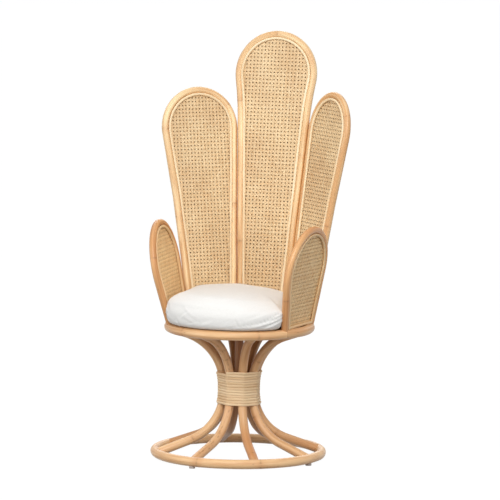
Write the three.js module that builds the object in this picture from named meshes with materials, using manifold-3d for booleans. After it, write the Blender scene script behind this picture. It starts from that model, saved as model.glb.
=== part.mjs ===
// Peacock chair: five cane-filled petals on a round seat ring, carried by a flared pedestal of eight bent
// poles that are bound together at the waist. Millimetres, +Z up, the open front faces -Y.

import * as THREE from 'three';
import { mergeVertices } from 'three/addons/utils/BufferGeometryUtils.js';
import Module from 'manifold-3d';

const wasm = await Module();
wasm.setup();

// Clearances
const FIT_GAP = 0.3;                 // between pieces that rest on, or are coped to, each other
const WRAP_GAP = 0.7;                // between the waist strip and the poles that it is wound on
const CUSHION_GAP = 2;               // between the cushion's sides and the petals

// Poles
const POLE_DIAMETER = 29;            // pedestal poles and centre post
const RING_ALLOWANCE = 2;            // how much thicker the rings are than the poles that are coped to them
const PETAL_POLE_DIAMETER = 23;
const BEAD_DIAMETER = 7.5;
const CANE_THICKNESS = 1.8;
const CANE_OFFSET = 3;               // from the petal's mid plane to the middle of each cane panel

// Base and seat
const GLIDE_DIAMETER = 20;
const GLIDE_HEIGHT = 6;              // from the floor to the underside of the base ring
const GLIDE_LIP = 2;                 // how far a glide reaches up the ring's sides
const GLIDE_COUNT = 4;               // under evenly spread pedestal poles
const BASE_RING_RADIUS = 275;
const SEAT_RING_RADIUS = 233;
const SEAT_RING_HEIGHT = 437;        // floor to the ring's centre line
const SEAT_BOARD_THICKNESS = 7.5;
const SEAT_BOARD_DROP = 2.35;        // from the top of the seat ring down to the board's face
const SEAT_BOARD_EASE = 1.9;         // bevel of the board's rims

// Pedestal
const PEDESTAL_POLE_COUNT = 8;
const PEDESTAL_TURN = 13.4;          // degrees from the back to the first pole
const WAIST_RADIUS = 52;             // centre lines of the poles at the waist
const WAIST_HEIGHT = 231.5;
const WAIST_STRAIGHT = 22;           // upright stretch of each pole at the waist
const FOOT_SLOPE = 20;               // degrees above level where a pole meets the base ring
const SHOULDER_SLOPE = 19;           // degrees above level where a pole meets the seat ring
const WAIST_CORE_HEIGHT = 80;
const WAIST_CORE_EASE = 3;           // bevel of the core's rims
const WRAP_TURNS = 12.5;
const WRAP_RISE = 5.5;               // of the winding's middle above the waist
const WRAP_TURN_GAP = 0.7;           // between neighbouring turns of the strip
const WRAP_STRIP_HEIGHT = 8.1;
const WRAP_STRIP_THICKNESS = 4;
const WRAP_OUTER_EASE = 1.6;         // bevel of the strip's outer edges
const WRAP_INNER_EASE = 0.8;         // how far its inner edges are drawn in

// Petals. Angles in degrees. A head's round is wider than the foot by its overhang on either side
const FOOT_RISE = 8;                 // from the seat ring's centre line to the petals' own zero
const CENTRE_HEAD_HEIGHT = 814;      // from the feet to the middle of the head's round, along the petal
const SIDE_HEAD_STEP = 182;          // how much lower the side petals' heads stand
const ARM_HEAD_HEIGHT = 198;
const PETAL_SHAPES = {
  centre: { lean: 8.5, footAngle: 19.1, headOverhang: 56.3, headHeight: CENTRE_HEAD_HEIGHT },
  side: { lean: 9, footAngle: 19.5, headOverhang: 48.2, headHeight: CENTRE_HEAD_HEIGHT - SIDE_HEAD_STEP },
  arm: { lean: 10.8, footAngle: 25.8, headOverhang: 36.6, headHeight: ARM_HEAD_HEIGHT },
};
const CENTRE_NECK_RISE = 34;         // how far above the side heads' middles the centre petal starts to widen
const ARM_HEAD_SHIFT = 24;           // how far an arm's head stands forward of the middle of its foot

// Cushion
const CUSHION_OVERHANG = 28;         // past the seat ring's centre line, where the open front leaves it free
const CUSHION_THICKNESS = 116;
const CUSHION_BASE_INSET = 12;       // from the seat ring's centre line in to the rim of the flat underside
const CUSHION_FULLNESS = 3.2;        // 2 makes the crown and the sides elliptical, more makes them fuller
const CUSHION_CORNERS = 40;          // higher gives tighter corners between the petals and the free front

// Facets
const POLE_SIDES = 10;
const BEAD_SIDES = 6;
const HOOP_STEPS = 44;
const BOUND_STEPS = 4;               // in the third of a pole's bend that lies under the waist strip
const BEND_STEPS = 4;                // in the rest of the bend
const NECK_STEPS = 3;
const HEAD_STEPS = 14;
const GLIDE_SIDES = 16;
const CORE_SIDES = 24;
const BOARD_SIDES = 40;
const CUSHION_SECTORS = 60;
const CUSHION_BASE_RINGS = 3;        // from the flat underside to the widest reach
const CUSHION_CROWN_RINGS = 6;       // from there to the top

const ringDiameter = POLE_DIAMETER + RING_ALLOWANCE;
const ringRadius = ringDiameter / 2;
const poleRadius = POLE_DIAMETER / 2;
const petalPoleRadius = PETAL_POLE_DIAMETER / 2;
const beadRadius = BEAD_DIAMETER / 2;
const baseRingHeight = GLIDE_HEIGHT + ringRadius;
const radians = THREE.MathUtils.degToRad;
const SAME_PLACE = 1e-4;             // points closer than this are one

const finishes = {
  pole: new THREE.MeshStandardMaterial({ color: 0xd9ab70, roughness: 0.45, metalness: 0 }),
  petalPole: new THREE.MeshStandardMaterial({ color: 0xe6be86, roughness: 0.42, metalness: 0 }),
  bead: new THREE.MeshStandardMaterial({ color: 0xf2dcb8, roughness: 0.5, metalness: 0 }),
  cane: new THREE.MeshStandardMaterial({ color: 0xe2c493, roughness: 0.6, metalness: 0 }),
  wrap: new THREE.MeshStandardMaterial({ color: 0xcdaa7c, roughness: 0.7, metalness: 0 }),
  board: new THREE.MeshStandardMaterial({ color: 0xc9a678, roughness: 0.7, metalness: 0 }),
  cotton: new THREE.MeshStandardMaterial({ color: 0xf3f0ea, roughness: 0.9, metalness: 0 }),
  glide: new THREE.MeshStandardMaterial({ color: 0x9a8c8c, roughness: 0.6, metalness: 0 }),
};

// Solids

function weld(geometry) {
  geometry.deleteAttribute('normal');
  geometry.deleteAttribute('uv');
  return mergeVertices(geometry, SAME_PLACE);
}

function solidOf(geometry) {
  const welded = weld(geometry.clone());
  return new wasm.Manifold(new wasm.Mesh({
    numProp: 3,
    vertProperties: new Float32Array(welded.attributes.position.array),
    triVerts: new Uint32Array(welded.index.array),
  }));
}

function geometryOf(solid) {
  const mesh = solid.getMesh();
  const geometry = new THREE.BufferGeometry();
  geometry.setAttribute('position', new THREE.BufferAttribute(mesh.vertProperties, 3));
  geometry.setIndex(new THREE.BufferAttribute(mesh.triVerts, 1));
  return geometry;
}

function cut(geometry, ...cutters) {
  const solid = cutters.reduce((left, cutter) => left.subtract(solidOf(cutter)), solidOf(geometry));
  return geometryOf(solid);
}

function join(first, ...others) {
  const solid = others.reduce((sum, other) => sum.add(solidOf(other)), solidOf(first));
  return geometryOf(solid);
}

function overlap(first, second) {
  return geometryOf(solidOf(first).intersect(solidOf(second)));
}

function roundSection(radius, sides) {
  const corner = (i) => (i + 0.5) * 2 * Math.PI / sides;
  return Array.from({ length: sides }, (_, i) => new THREE.Vector2(
    radius * Math.cos(corner(i)), radius * Math.sin(corner(i))));
}

// A route that is sampled only where it needs to be: each station has a place and a heading.
class StationRoute extends THREE.Curve {
  constructor(stations) {
    super();
    this.stations = stations;
  }

  nearest(t) {
    return this.stations[Math.round(t * (this.stations.length - 1))];
  }

  getPoint(t) {
    return this.nearest(t).place.clone();
  }

  getTangent(t) {
    return this.nearest(t).heading.clone();
  }

  getUtoTmapping(u) {
    return u;
  }
}

// Flat route made of straight stretches and arcs, mapped into space by `lift`.
class FlatRoute {
  constructor() {
    this.points = [];
  }

  add(x, y, angle) {
    const last = this.points.at(-1);
    if (!last || Math.hypot(x - last.x, y - last.y) > SAME_PLACE) this.points.push({ x, y, angle });
    return this;
  }

  arc(centre, radius, start, end, steps) {
    const turn = Math.sign(end - start) * Math.PI / 2;
    for (let i = 0; i <= steps; i += 1) {
      const angle = start + (end - start) * i / steps;
      this.add(centre.x + radius * Math.cos(angle), centre.y + radius * Math.sin(angle), angle + turn);
    }
    return this;
  }

  lift(place, heading) {
    return new StationRoute(this.points.map(({ x, y, angle }) => ({
      place: place(x, y), heading: heading(Math.cos(angle), Math.sin(angle)),
    })));
  }
}

function bentPole(route, diameter, sides) {
  const section = new THREE.Shape(roundSection(diameter / 2, sides));
  return new THREE.ExtrudeGeometry(section, {
    steps: route.stations.length - 1, extrudePath: route, bevelEnabled: false,
  });
}

function straightPole(from, to, diameter, sides) {
  const heading = to.clone().sub(from).normalize();
  return bentPole(new StationRoute([{ place: from, heading }, { place: to, heading }]), diameter, sides);
}

function hoop(radius, height, diameter) {
  const section = roundSection(diameter / 2, POLE_SIDES).map((p) => new THREE.Vector2(radius + p.x, p.y));
  section.push(section[0].clone());
  return new THREE.LatheGeometry(section, HOOP_STEPS).rotateX(Math.PI / 2).translate(0, 0, height);
}

function turned(profile, sides) {
  const points = profile.map(([r, z]) => new THREE.Vector2(r, z));
  return new THREE.LatheGeometry(points, sides).rotateX(Math.PI / 2);
}

function piece(name, geometry, material) {
  const welded = weld(geometry);
  welded.computeVertexNormals();
  const mesh = new THREE.Mesh(welded, material);
  mesh.name = name;
  return mesh;
}

// Rings, with the slightly fatter copies that cope whatever meets them

const baseRing = hoop(BASE_RING_RADIUS, baseRingHeight, ringDiameter);
const baseRingCope = hoop(BASE_RING_RADIUS, baseRingHeight, ringDiameter + 2 * FIT_GAP);
const seatRing = hoop(SEAT_RING_RADIUS, SEAT_RING_HEIGHT, ringDiameter);
const seatRingCope = hoop(SEAT_RING_RADIUS, SEAT_RING_HEIGHT, ringDiameter + 2 * FIT_GAP);

function makeGlides() {
  const radius = GLIDE_DIAMETER / 2;
  const top = GLIDE_HEIGHT + GLIDE_LIP;
  return Array.from({ length: GLIDE_COUNT }, (_, i) => {
    const angle = poleAngle(i * PEDESTAL_POLE_COUNT / GLIDE_COUNT);
    const disc = turned([[0, 0], [radius, 0], [radius, top], [0, top]], GLIDE_SIDES)
      .translate(BASE_RING_RADIUS * Math.sin(angle), BASE_RING_RADIUS * Math.cos(angle), 0);
    return piece(`foot_glide_${i + 1}`, cut(disc, baseRingCope), finishes.glide);
  });
}

// The seat ring is sawn through under the front legs of the two arms.
function makeSeatRing() {
  const sector = Math.PI - frontAngle;
  const reach = 2 * SEAT_RING_RADIUS;
  const wedgePlan = new THREE.Shape([
    new THREE.Vector2(0, 0),
    new THREE.Vector2(-reach * Math.sin(sector), -reach * Math.cos(sector)),
    new THREE.Vector2(-reach * Math.sin(sector / 2), -reach * Math.cos(sector / 2)),
    new THREE.Vector2(0, -reach),
    new THREE.Vector2(reach * Math.sin(sector / 2), -reach * Math.cos(sector / 2)),
    new THREE.Vector2(reach * Math.sin(sector), -reach * Math.cos(sector)),
  ]);
  const wedge = new THREE.ExtrudeGeometry(wedgePlan, { depth: 2 * ringDiameter, bevelEnabled: false })
    .translate(0, 0, SEAT_RING_HEIGHT - ringDiameter);
  const kerf = wedge.clone().translate(0, FIT_GAP / Math.sin(sector), 0);
  return [
    piece('seat_ring_front', overlap(seatRing, wedge), finishes.pole),
    piece('seat_ring_back', cut(seatRing, kerf), finishes.pole),
  ];
}

// Pedestal

const footSlope = radians(FOOT_SLOPE);
const shoulderSlope = radians(SHOULDER_SLOPE);
const waistBottom = WAIST_HEIGHT - WAIST_STRAIGHT / 2;
const waistTop = WAIST_HEIGHT + WAIST_STRAIGHT / 2;
const footCorner = baseRingHeight + (BASE_RING_RADIUS - WAIST_RADIUS) * Math.tan(footSlope);
const shoulderCorner = SEAT_RING_HEIGHT - (SEAT_RING_RADIUS - WAIST_RADIUS) * Math.tan(shoulderSlope);
const footBend = (waistBottom - footCorner) / Math.tan((Math.PI / 2 - footSlope) / 2);
const shoulderBend = (shoulderCorner - waistTop) / Math.tan((Math.PI / 2 - shoulderSlope) / 2);

function poleAngle(index) {
  return radians(PEDESTAL_TURN + index * 360 / PEDESTAL_POLE_COUNT);
}

function makePedestalPoles() {
  const footCentre = new THREE.Vector2(WAIST_RADIUS + footBend, waistBottom);
  const shoulderCentre = new THREE.Vector2(WAIST_RADIUS + shoulderBend, waistTop);
  const footThird = Math.PI + (Math.PI / 2 - footSlope) / 3;
  const shoulderThird = Math.PI - (Math.PI / 2 - shoulderSlope) / 3;
  const profile = new FlatRoute()
    .add(BASE_RING_RADIUS, baseRingHeight, Math.PI - footSlope)
    .arc(footCentre, footBend, 1.5 * Math.PI - footSlope, footThird, BEND_STEPS)
    .arc(footCentre, footBend, footThird, Math.PI, BOUND_STEPS)
    .arc(shoulderCentre, shoulderBend, Math.PI, shoulderThird, BOUND_STEPS)
    .arc(shoulderCentre, shoulderBend, shoulderThird, Math.PI / 2 + shoulderSlope, BEND_STEPS)
    .add(SEAT_RING_RADIUS, SEAT_RING_HEIGHT, shoulderSlope);
  return Array.from({ length: PEDESTAL_POLE_COUNT }, (_, i) => {
    const out = new THREE.Vector3(Math.sin(poleAngle(i)), Math.cos(poleAngle(i)), 0);
    const inPlane = (r, z) => out.clone().multiplyScalar(r).setZ(z);
    const blank = bentPole(profile.lift(inPlane, inPlane), POLE_DIAMETER, POLE_SIDES);
    return piece(`pedestal_pole_${i + 1}`, cut(blank, baseRingCope, seatRingCope), finishes.pole);
  });
}

const coreTop = WAIST_HEIGHT + WAIST_CORE_HEIGHT / 2;
const boardTop = SEAT_RING_HEIGHT + ringRadius - SEAT_BOARD_DROP;
const boardUnderside = boardTop - SEAT_BOARD_THICKNESS;

// The board is as wide as the rising poles leave room for under its rim.
const shoulderTop = SEAT_RING_HEIGHT + poleRadius / Math.cos(shoulderSlope) + FIT_GAP;
const boardRadius = SEAT_RING_RADIUS - (shoulderTop - boardUnderside) / Math.tan(shoulderSlope);

function makeWaistCore() {
  const radius = WAIST_RADIUS - poleRadius - FIT_GAP;
  const bottom = WAIST_HEIGHT - WAIST_CORE_HEIGHT / 2;
  return piece('waist_core', turned([
    [0, bottom], [radius - WAIST_CORE_EASE, bottom], [radius, bottom + WAIST_CORE_EASE],
    [radius, coreTop - WAIST_CORE_EASE], [radius - WAIST_CORE_EASE, coreTop], [0, coreTop],
  ], CORE_SIDES), finishes.board);
}

function makeCentrePost() {
  const from = new THREE.Vector3(0, 0, coreTop + FIT_GAP);
  const to = new THREE.Vector3(0, 0, boardUnderside - FIT_GAP);
  return piece('centre_post', straightPole(from, to, POLE_DIAMETER, POLE_SIDES), finishes.pole);
}

function makeSeatBoard() {
  const flat = boardRadius - SEAT_BOARD_EASE;
  return piece('seat_board', turned([
    [0, boardUnderside], [flat, boardUnderside], [boardRadius, boardUnderside + SEAT_BOARD_EASE],
    [boardRadius, boardTop - SEAT_BOARD_EASE], [flat, boardTop], [0, boardTop],
  ], BOARD_SIDES), finishes.board);
}

// Where a pole's centre line lies behind a point of the strip, `along` mm up the strip's own profile from
// the waist, and how far the pole flares there.
function waistProfile(along, standOff) {
  const above = along > 0;
  const bend = above ? shoulderBend : footBend;
  const bent = Math.sign(along) * Math.max(0, Math.abs(along) - WAIST_STRAIGHT / 2);
  const flare = bent / (bend - standOff);
  return {
    flare,
    radius: WAIST_RADIUS + bend * (1 - Math.cos(flare)),
    height: WAIST_HEIGHT + along - bent + bend * Math.sin(flare),
  };
}

// One flat strip, wound as a helix that goes straight from pole to pole and bends round each of them.
function makeWaistWrap() {
  const halfThickness = WRAP_STRIP_THICKNESS / 2;
  const halfHeight = WRAP_STRIP_HEIGHT / 2;
  const upperHalf = [
    [-halfThickness, halfHeight - WRAP_INNER_EASE],
    [halfThickness - WRAP_OUTER_EASE, halfHeight],
    [halfThickness, halfHeight - WRAP_OUTER_EASE],
  ];
  const section = [...upperHalf, ...upperHalf.toReversed().map(([x, y]) => [x, -y])];
  const bendShare = [-0.5, 0, 0.5];  // start, middle and end of the bend round one pole
  const stepsPerTurn = PEDESTAL_POLE_COUNT * bendShare.length;
  const steps = WRAP_TURNS * stepsPerTurn;
  const pitch = WRAP_STRIP_HEIGHT + WRAP_TURN_GAP;
  const poleStep = 2 * Math.PI / PEDESTAL_POLE_COUNT;
  const standOff = poleRadius + WRAP_GAP + halfThickness;

  const rings = [];
  for (let i = 0; i <= steps; i += 1) {
    const pole = Math.floor(i / bendShare.length);
    const { flare, radius, height } = waistProfile(WRAP_RISE + pitch * (i - steps / 2) / stepsPerTurn, standOff);
    const normalAngle = poleAngle(pole) + bendShare[i % bendShare.length] * poleStep;
    const level = new THREE.Vector3(Math.sin(normalAngle), Math.cos(normalAngle), 0);
    const outward = level.clone().multiplyScalar(Math.cos(flare)).setZ(-Math.sin(flare));
    const upward = level.clone().multiplyScalar(Math.sin(flare)).setZ(Math.cos(flare));
    const middle = new THREE.Vector3(Math.sin(poleAngle(pole)), Math.cos(poleAngle(pole)), 0)
      .multiplyScalar(radius).setZ(height).addScaledVector(outward, standOff);
    const corner = ([x, y]) => middle.clone().addScaledVector(outward, x).addScaledVector(upward, y);
    rings.push(section.map(corner));
  }
  printLeastGap(rings, stepsPerTurn);
  return piece('waist_wrap', skin(rings), finishes.wrap);
}

// Closed tube through rings of points, capped at both ends.
function skin(rings) {
  const sides = rings[0].length;
  const index = [];
  for (let i = 0; i + 1 < rings.length; i += 1) {
    for (let j = 0; j < sides; j += 1) {
      const a = i * sides + j;
      const b = i * sides + (j + 1) % sides;
      index.push(a, a + sides, b, b, a + sides, b + sides);
    }
  }
  const last = (rings.length - 1) * sides;
  for (let j = 1; j + 1 < sides; j += 1) index.push(0, j, j + 1, last, last + j + 1, last + j);
  const geometry = new THREE.BufferGeometry().setFromPoints(rings.flat());
  geometry.setIndex(index);
  return geometry;
}

function printLeastGap(rings, stepsPerTurn) {
  let least = Infinity;
  for (let i = 0; i + stepsPerTurn < rings.length; i += 1) {
    const next = rings.slice(i + stepsPerTurn - 1, i + stepsPerTurn + 2).flat();
    for (const point of rings[i]) {
      for (const other of next) least = Math.min(least, point.distanceTo(other));
    }
  }
  console.log(`waist wrap: least gap between turns ${least.toFixed(2)} mm`);
}

// Petals

const seamHalfAngle = Math.asin((petalPoleRadius + FIT_GAP / 2) / SEAT_RING_RADIUS);
const caneFace = CANE_OFFSET + CANE_THICKNESS / 2;
const beadOffset = caneFace + FIT_GAP + beadRadius;
const beadInset = Math.sqrt((petalPoleRadius + beadRadius + FIT_GAP) ** 2 - beadOffset ** 2);

// Feet stand side by side round the ring, so each petal's angle follows from its neighbours' widths.
function nextPetalAngle(angle, shape, nextShape) {
  return angle + radians(shape.footAngle) + 2 * seamHalfAngle + radians(nextShape.footAngle);
}

const sideAngle = nextPetalAngle(0, PETAL_SHAPES.centre, PETAL_SHAPES.side);
const armAngle = nextPetalAngle(sideAngle, PETAL_SHAPES.side, PETAL_SHAPES.arm);
const frontAngle = armAngle + radians(PETAL_SHAPES.arm.footAngle);

// The straight side of a petal follows the seam plane to its neighbour, at this angle to the petal's middle.
function seamTilt(shape) {
  return Math.atan(Math.sin(radians(shape.lean)) * Math.tan(radians(shape.footAngle) + seamHalfAngle));
}

function footHalfWidth(shape) {
  return SEAT_RING_RADIUS * Math.sin(radians(shape.footAngle));
}

function roundOf(shape) {
  return footHalfWidth(shape) + shape.headOverhang;
}

// How far a head has to stand from its petal's middle for its round to touch the seam plane.
function headShiftToSeam(shape) {
  const tilt = seamTilt(shape);
  return (roundOf(shape) - shape.headHeight * Math.sin(tilt)) / Math.cos(tilt) - footHalfWidth(shape);
}

const sideHeadShift = headShiftToSeam(PETAL_SHAPES.side);

// `shift` moves a head along its petal's own X, away from the back. An edge leaves its neighbour's seam at
// the height `neckFrom`, and the edge on the `free` hand has no neighbour.
const PETALS = [
  {
    name: 'petal_centre', shape: PETAL_SHAPES.centre, angle: 0,
    shift: 0, free: 0, neckFrom: PETAL_SHAPES.side.headHeight + CENTRE_NECK_RISE,
  },
  ...[['left', -1], ['right', 1]].flatMap(([side, hand]) => [{
    name: `petal_${side}`, shape: PETAL_SHAPES.side, angle: hand * sideAngle,
    shift: hand * sideHeadShift, free: 0, neckFrom: PETAL_SHAPES.arm.headHeight,
  }, {
    name: `arm_${side}`, shape: PETAL_SHAPES.arm, angle: hand * armAngle,
    shift: hand * ARM_HEAD_SHIFT, free: hand, neckFrom: 0,
  }]),
];

function footRadius(shape) {
  return SEAT_RING_RADIUS * Math.cos(radians(shape.footAngle));
}

// One edge of a petal: a straight line at distance `reach` from the head's centre, square to `normal`. It
// runs straight into the round head, or through a hollow neck that swings by `swing`. `hand` is 1 or -1.
function petalEdge({ shape, shift, free, neckFrom }, hand) {
  const tilt = seamTilt(shape);
  const headRadius = roundOf(shape);
  const toFoot = new THREE.Vector2(footHalfWidth(shape) - hand * shift, -shape.headHeight);
  const seamReach = toFoot.x * Math.cos(tilt) - toFoot.y * Math.sin(tilt);
  const edge = { shift: hand * shift };
  if (hand === free || headRadius - seamReach < SAME_PLACE) {
    const normal = toFoot.angle() - 2 * Math.PI + Math.acos(headRadius / toFoot.length());
    return { ...edge, normal, reach: headRadius, swing: 0, neck: 0 };
  }
  const drop = -toFoot.x * Math.sin(tilt) - toFoot.y * Math.cos(tilt) - neckFrom / Math.cos(tilt);
  const neck = (seamReach ** 2 + drop ** 2 - headRadius ** 2) / (2 * (headRadius - seamReach));
  const swing = Math.acos((seamReach + neck) / (headRadius + neck));
  return { ...edge, normal: -tilt, reach: seamReach, swing, neck };
}

// Outline of a petal, set in by `inset` from its pole's centre line, from foot to foot over the head.
function petalRoute(petal, inset, startHeight) {
  const { shape, shift } = petal;
  const head = new THREE.Vector2(shift, shape.headHeight);
  const headRadius = roundOf(shape) - inset;
  const [right, left] = [1, -1].map((hand) => petalEdge(petal, hand));

  const footAt = (edge) => edge.shift
    + (edge.reach - inset - (startHeight - head.y) * Math.sin(edge.normal)) / Math.cos(edge.normal);
  const neckCentre = ({ normal, swing, neck }, hand) => {
    const distance = roundOf(shape) + neck;
    const offset = new THREE.Vector2(hand * Math.cos(normal - swing), Math.sin(normal - swing));
    return offset.multiplyScalar(distance).add(head);
  };

  const route = new FlatRoute();
  route.add(footAt(right), startHeight, right.normal + Math.PI / 2);
  if (right.swing > 0) {
    route.arc(neckCentre(right, 1), right.neck + inset,
      right.normal + Math.PI, right.normal - right.swing + Math.PI, NECK_STEPS);
  }
  route.arc(head, headRadius, right.normal - right.swing, Math.PI - left.normal + left.swing, HEAD_STEPS);
  if (left.swing > 0) {
    route.arc(neckCentre(left, -1), left.neck + inset, left.swing - left.normal, -left.normal, NECK_STEPS);
  }
  route.add(-footAt(left), startHeight, -left.normal - Math.PI / 2);
  return route;
}

const onPlane = (offset) => (x, y) => new THREE.Vector3(x, y, offset);

// A bead is bent round the cane's edge and closed by a straight length along the seat ring.
function makeBead(petal, offset) {
  const lean = radians(petal.shape.lean);
  const rise = ringRadius + FIT_GAP + beadRadius - FOOT_RISE - offset * Math.sin(lean);
  const foot = rise / Math.cos(lean);
  const flat = petalRoute(petal, beadInset, foot - beadRadius);
  const arch = bentPole(flat.lift(onPlane(offset), onPlane(0)), BEAD_DIAMETER, BEAD_SIDES);
  const ends = [flat.points.at(-1).x, flat.points[0].x];
  const [from, to] = ends.map((x) => new THREE.Vector3(x, foot, offset));
  return join(arch, straightPole(from, to, BEAD_DIAMETER, BEAD_SIDES));
}

function makeCane(petal, offset) {
  const lean = radians(petal.shape.lean);
  const foot = (ringRadius + FIT_GAP + beadRadius - FOOT_RISE) / Math.cos(lean);
  const corners = petalRoute(petal, petalPoleRadius + FIT_GAP, foot).points;
  const outline = new THREE.Shape(corners.map(({ x, y }) => new THREE.Vector2(x, y)));
  return new THREE.ExtrudeGeometry(outline, { depth: CANE_THICKNESS, bevelEnabled: false })
    .translate(0, 0, offset - CANE_THICKNESS / 2);
}

// The petal lies in its own XY plane, with Z towards the sitter, and is tilted back on the seat ring.
function makePetal(petal) {
  const tilt = new THREE.Group();
  tilt.position.set(0, footRadius(petal.shape), SEAT_RING_HEIGHT + FOOT_RISE);
  tilt.rotation.x = Math.PI / 2 - radians(petal.shape.lean);
  const turn = new THREE.Group();
  turn.rotation.z = -petal.angle;
  turn.add(tilt);
  turn.updateMatrixWorld(true);

  const ringSeenFromPetal = seatRingCope.clone().applyMatrix4(tilt.matrixWorld.clone().invert());
  const route = petalRoute(petal, 0, 0).lift(onPlane(0), onPlane(0));
  const blank = bentPole(route, PETAL_POLE_DIAMETER, POLE_SIDES);
  tilt.add(piece(`${petal.name}_frame`, cut(blank, ringSeenFromPetal), finishes.petalPole));
  for (const [face, sign] of [['inner', 1], ['outer', -1]]) {
    tilt.add(piece(`${petal.name}_cane_${face}`, makeCane(petal, sign * CANE_OFFSET), finishes.cane));
    tilt.add(piece(`${petal.name}_bead_${face}`, makeBead(petal, sign * beadOffset), finishes.bead));
  }
  return turn;
}

// Cushion: round where it is free, pressed flat by the petals, with drawn-in sides and a crown

// Distance from the axis to the nearest of the petals' inner faces and the free round, with blended corners.
function cushionReach(angle, height) {
  const rise = height - SEAT_RING_HEIGHT - FOOT_RISE;
  const faced = PETALS.filter((petal) => Math.cos(angle - petal.angle) > 0);
  const limits = faced.map((petal) => {
    const lean = radians(petal.shape.lean);
    const middle = footRadius(petal.shape) + rise * Math.tan(lean);
    const face = middle - (beadOffset + beadRadius) / Math.cos(lean) - CUSHION_GAP;
    return face / Math.cos(angle - petal.angle);
  });
  limits.push(SEAT_RING_RADIUS + CUSHION_OVERHANG);
  const sum = limits.reduce((total, limit) => total + limit ** -CUSHION_CORNERS, 0);
  return sum ** (-1 / CUSHION_CORNERS);
}

// Spread and level, as shares, from the rim of the flat underside over the widest reach to the crown.
function cushionProfile() {
  const spreadAt = (turn) => Math.cos(turn) ** (2 / CUSHION_FULLNESS);
  const riseAt = (turn) => Math.sin(turn) ** (2 / CUSHION_FULLNESS);
  const baseShare = (SEAT_RING_RADIUS - CUSHION_BASE_INSET) / (SEAT_RING_RADIUS + CUSHION_OVERHANG);
  const baseTurn = Math.acos(baseShare ** (CUSHION_FULLNESS / 2));
  const profile = [];
  for (let i = CUSHION_BASE_RINGS; i > 0; i -= 1) {
    const turn = baseTurn * i / CUSHION_BASE_RINGS;
    profile.push([spreadAt(turn), 0.5 - 0.5 * riseAt(turn) / riseAt(baseTurn)]);
  }
  for (let i = 0; i < CUSHION_CROWN_RINGS; i += 1) {
    const turn = Math.PI / 2 * i / CUSHION_CROWN_RINGS;
    profile.push([spreadAt(turn), 0.5 + 0.5 * riseAt(turn)]);
  }
  return profile;
}

function makeCushion() {
  const bottom = boardTop + FIT_GAP;
  const rings = cushionProfile().map(([spread, level]) => {
    const z = bottom + level * CUSHION_THICKNESS;
    return Array.from({ length: CUSHION_SECTORS }, (_, i) => {
      const angle = i * 2 * Math.PI / CUSHION_SECTORS;
      const reach = spread * cushionReach(angle, z);
      return new THREE.Vector3(reach * Math.sin(angle), reach * Math.cos(angle), z);
    });
  });
  return piece('seat_cushion', skin(rings), finishes.cotton);
}

const chair = new THREE.Group();
chair.add(piece('base_ring', baseRing, finishes.pole), ...makeGlides());
chair.add(...makePedestalPoles(), makeWaistCore(), makeCentrePost(), makeWaistWrap());
chair.add(...makeSeatRing(), makeSeatBoard());
chair.add(...PETALS.map(makePetal), makeCushion());

// The origin is on the floor, under the middle of the whole chair.
const footprint = new THREE.Box3().setFromObject(chair).getCenter(new THREE.Vector3());
chair.position.set(-footprint.x, -footprint.y, 0);

export default chair;
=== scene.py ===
# %% [markdown]
# # A rattan peacock chair
# The chair is a round rattan armchair: five rounded petals filled with woven cane stand on a seat
# ring, and eight bent poles carry the ring, bound together at the waist. The CAD model gives every
# piece its place. This lesson models what the eye sees: skin, nodes, weave, winding and cloth.
#
# The imported model is loaded first, and its parts are kept.

import math
import random

import bpy
import numpy as np
from mathutils import Matrix, Vector
from mathutils.bvhtree import BVHTree


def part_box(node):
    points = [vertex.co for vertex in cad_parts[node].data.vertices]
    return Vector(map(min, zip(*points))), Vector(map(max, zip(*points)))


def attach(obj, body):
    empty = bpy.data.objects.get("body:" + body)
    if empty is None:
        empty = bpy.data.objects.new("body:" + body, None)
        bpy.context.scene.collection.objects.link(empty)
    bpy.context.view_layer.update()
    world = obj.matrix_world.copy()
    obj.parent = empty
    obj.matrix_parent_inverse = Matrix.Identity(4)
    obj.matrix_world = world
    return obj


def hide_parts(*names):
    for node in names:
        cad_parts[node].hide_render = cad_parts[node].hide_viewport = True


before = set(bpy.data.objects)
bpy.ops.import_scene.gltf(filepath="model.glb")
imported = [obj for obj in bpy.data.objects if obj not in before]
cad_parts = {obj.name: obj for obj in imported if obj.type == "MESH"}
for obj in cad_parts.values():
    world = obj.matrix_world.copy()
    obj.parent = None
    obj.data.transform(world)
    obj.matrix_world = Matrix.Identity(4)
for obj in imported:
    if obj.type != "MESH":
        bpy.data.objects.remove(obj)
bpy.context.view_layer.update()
bpy.ops.object.select_all(action="DESELECT")
bpy.context.scene.view_settings.view_transform = "Standard"

# %% [markdown]
# The sizes that drive the whole chair come from the CAD nodes where a box can tell them. The two
# rings share one upright axis, and the seat ring's middle is the point that the camera is set by.

# %% Driving sizes
base_low, base_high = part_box("base_ring")
seat_low, seat_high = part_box("seat_ring_back")
AXIS = Vector((0, (base_low.y + base_high.y) / 2, 0))
RING_THICKNESS = base_high.z - base_low.z
BASE_RING_HEIGHT = (base_low.z + base_high.z) / 2
SEAT_RING_HEIGHT = (seat_low.z + seat_high.z) / 2
BASE_RING_RADIUS = 0.275
SEAT_RING_RADIUS = 0.233
POLE_THICKNESS = 0.029
PETAL_POLE_THICKNESS = 0.023
FIT_GAP = 0.0003
print("axis", tuple(AXIS), "seat ring at", round(SEAT_RING_HEIGHT, 4))

# %% [markdown]
# ## The camera
# The photograph is taken from far away with a long lens, a little above the seat and to one side. A
# camera can be placed by eye, but the rings give its angles exactly: a circle's ellipse tells the
# elevation, and the petals' seams tell the turn. It is then aimed so that the seat ring falls where
# the picture has it.

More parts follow.
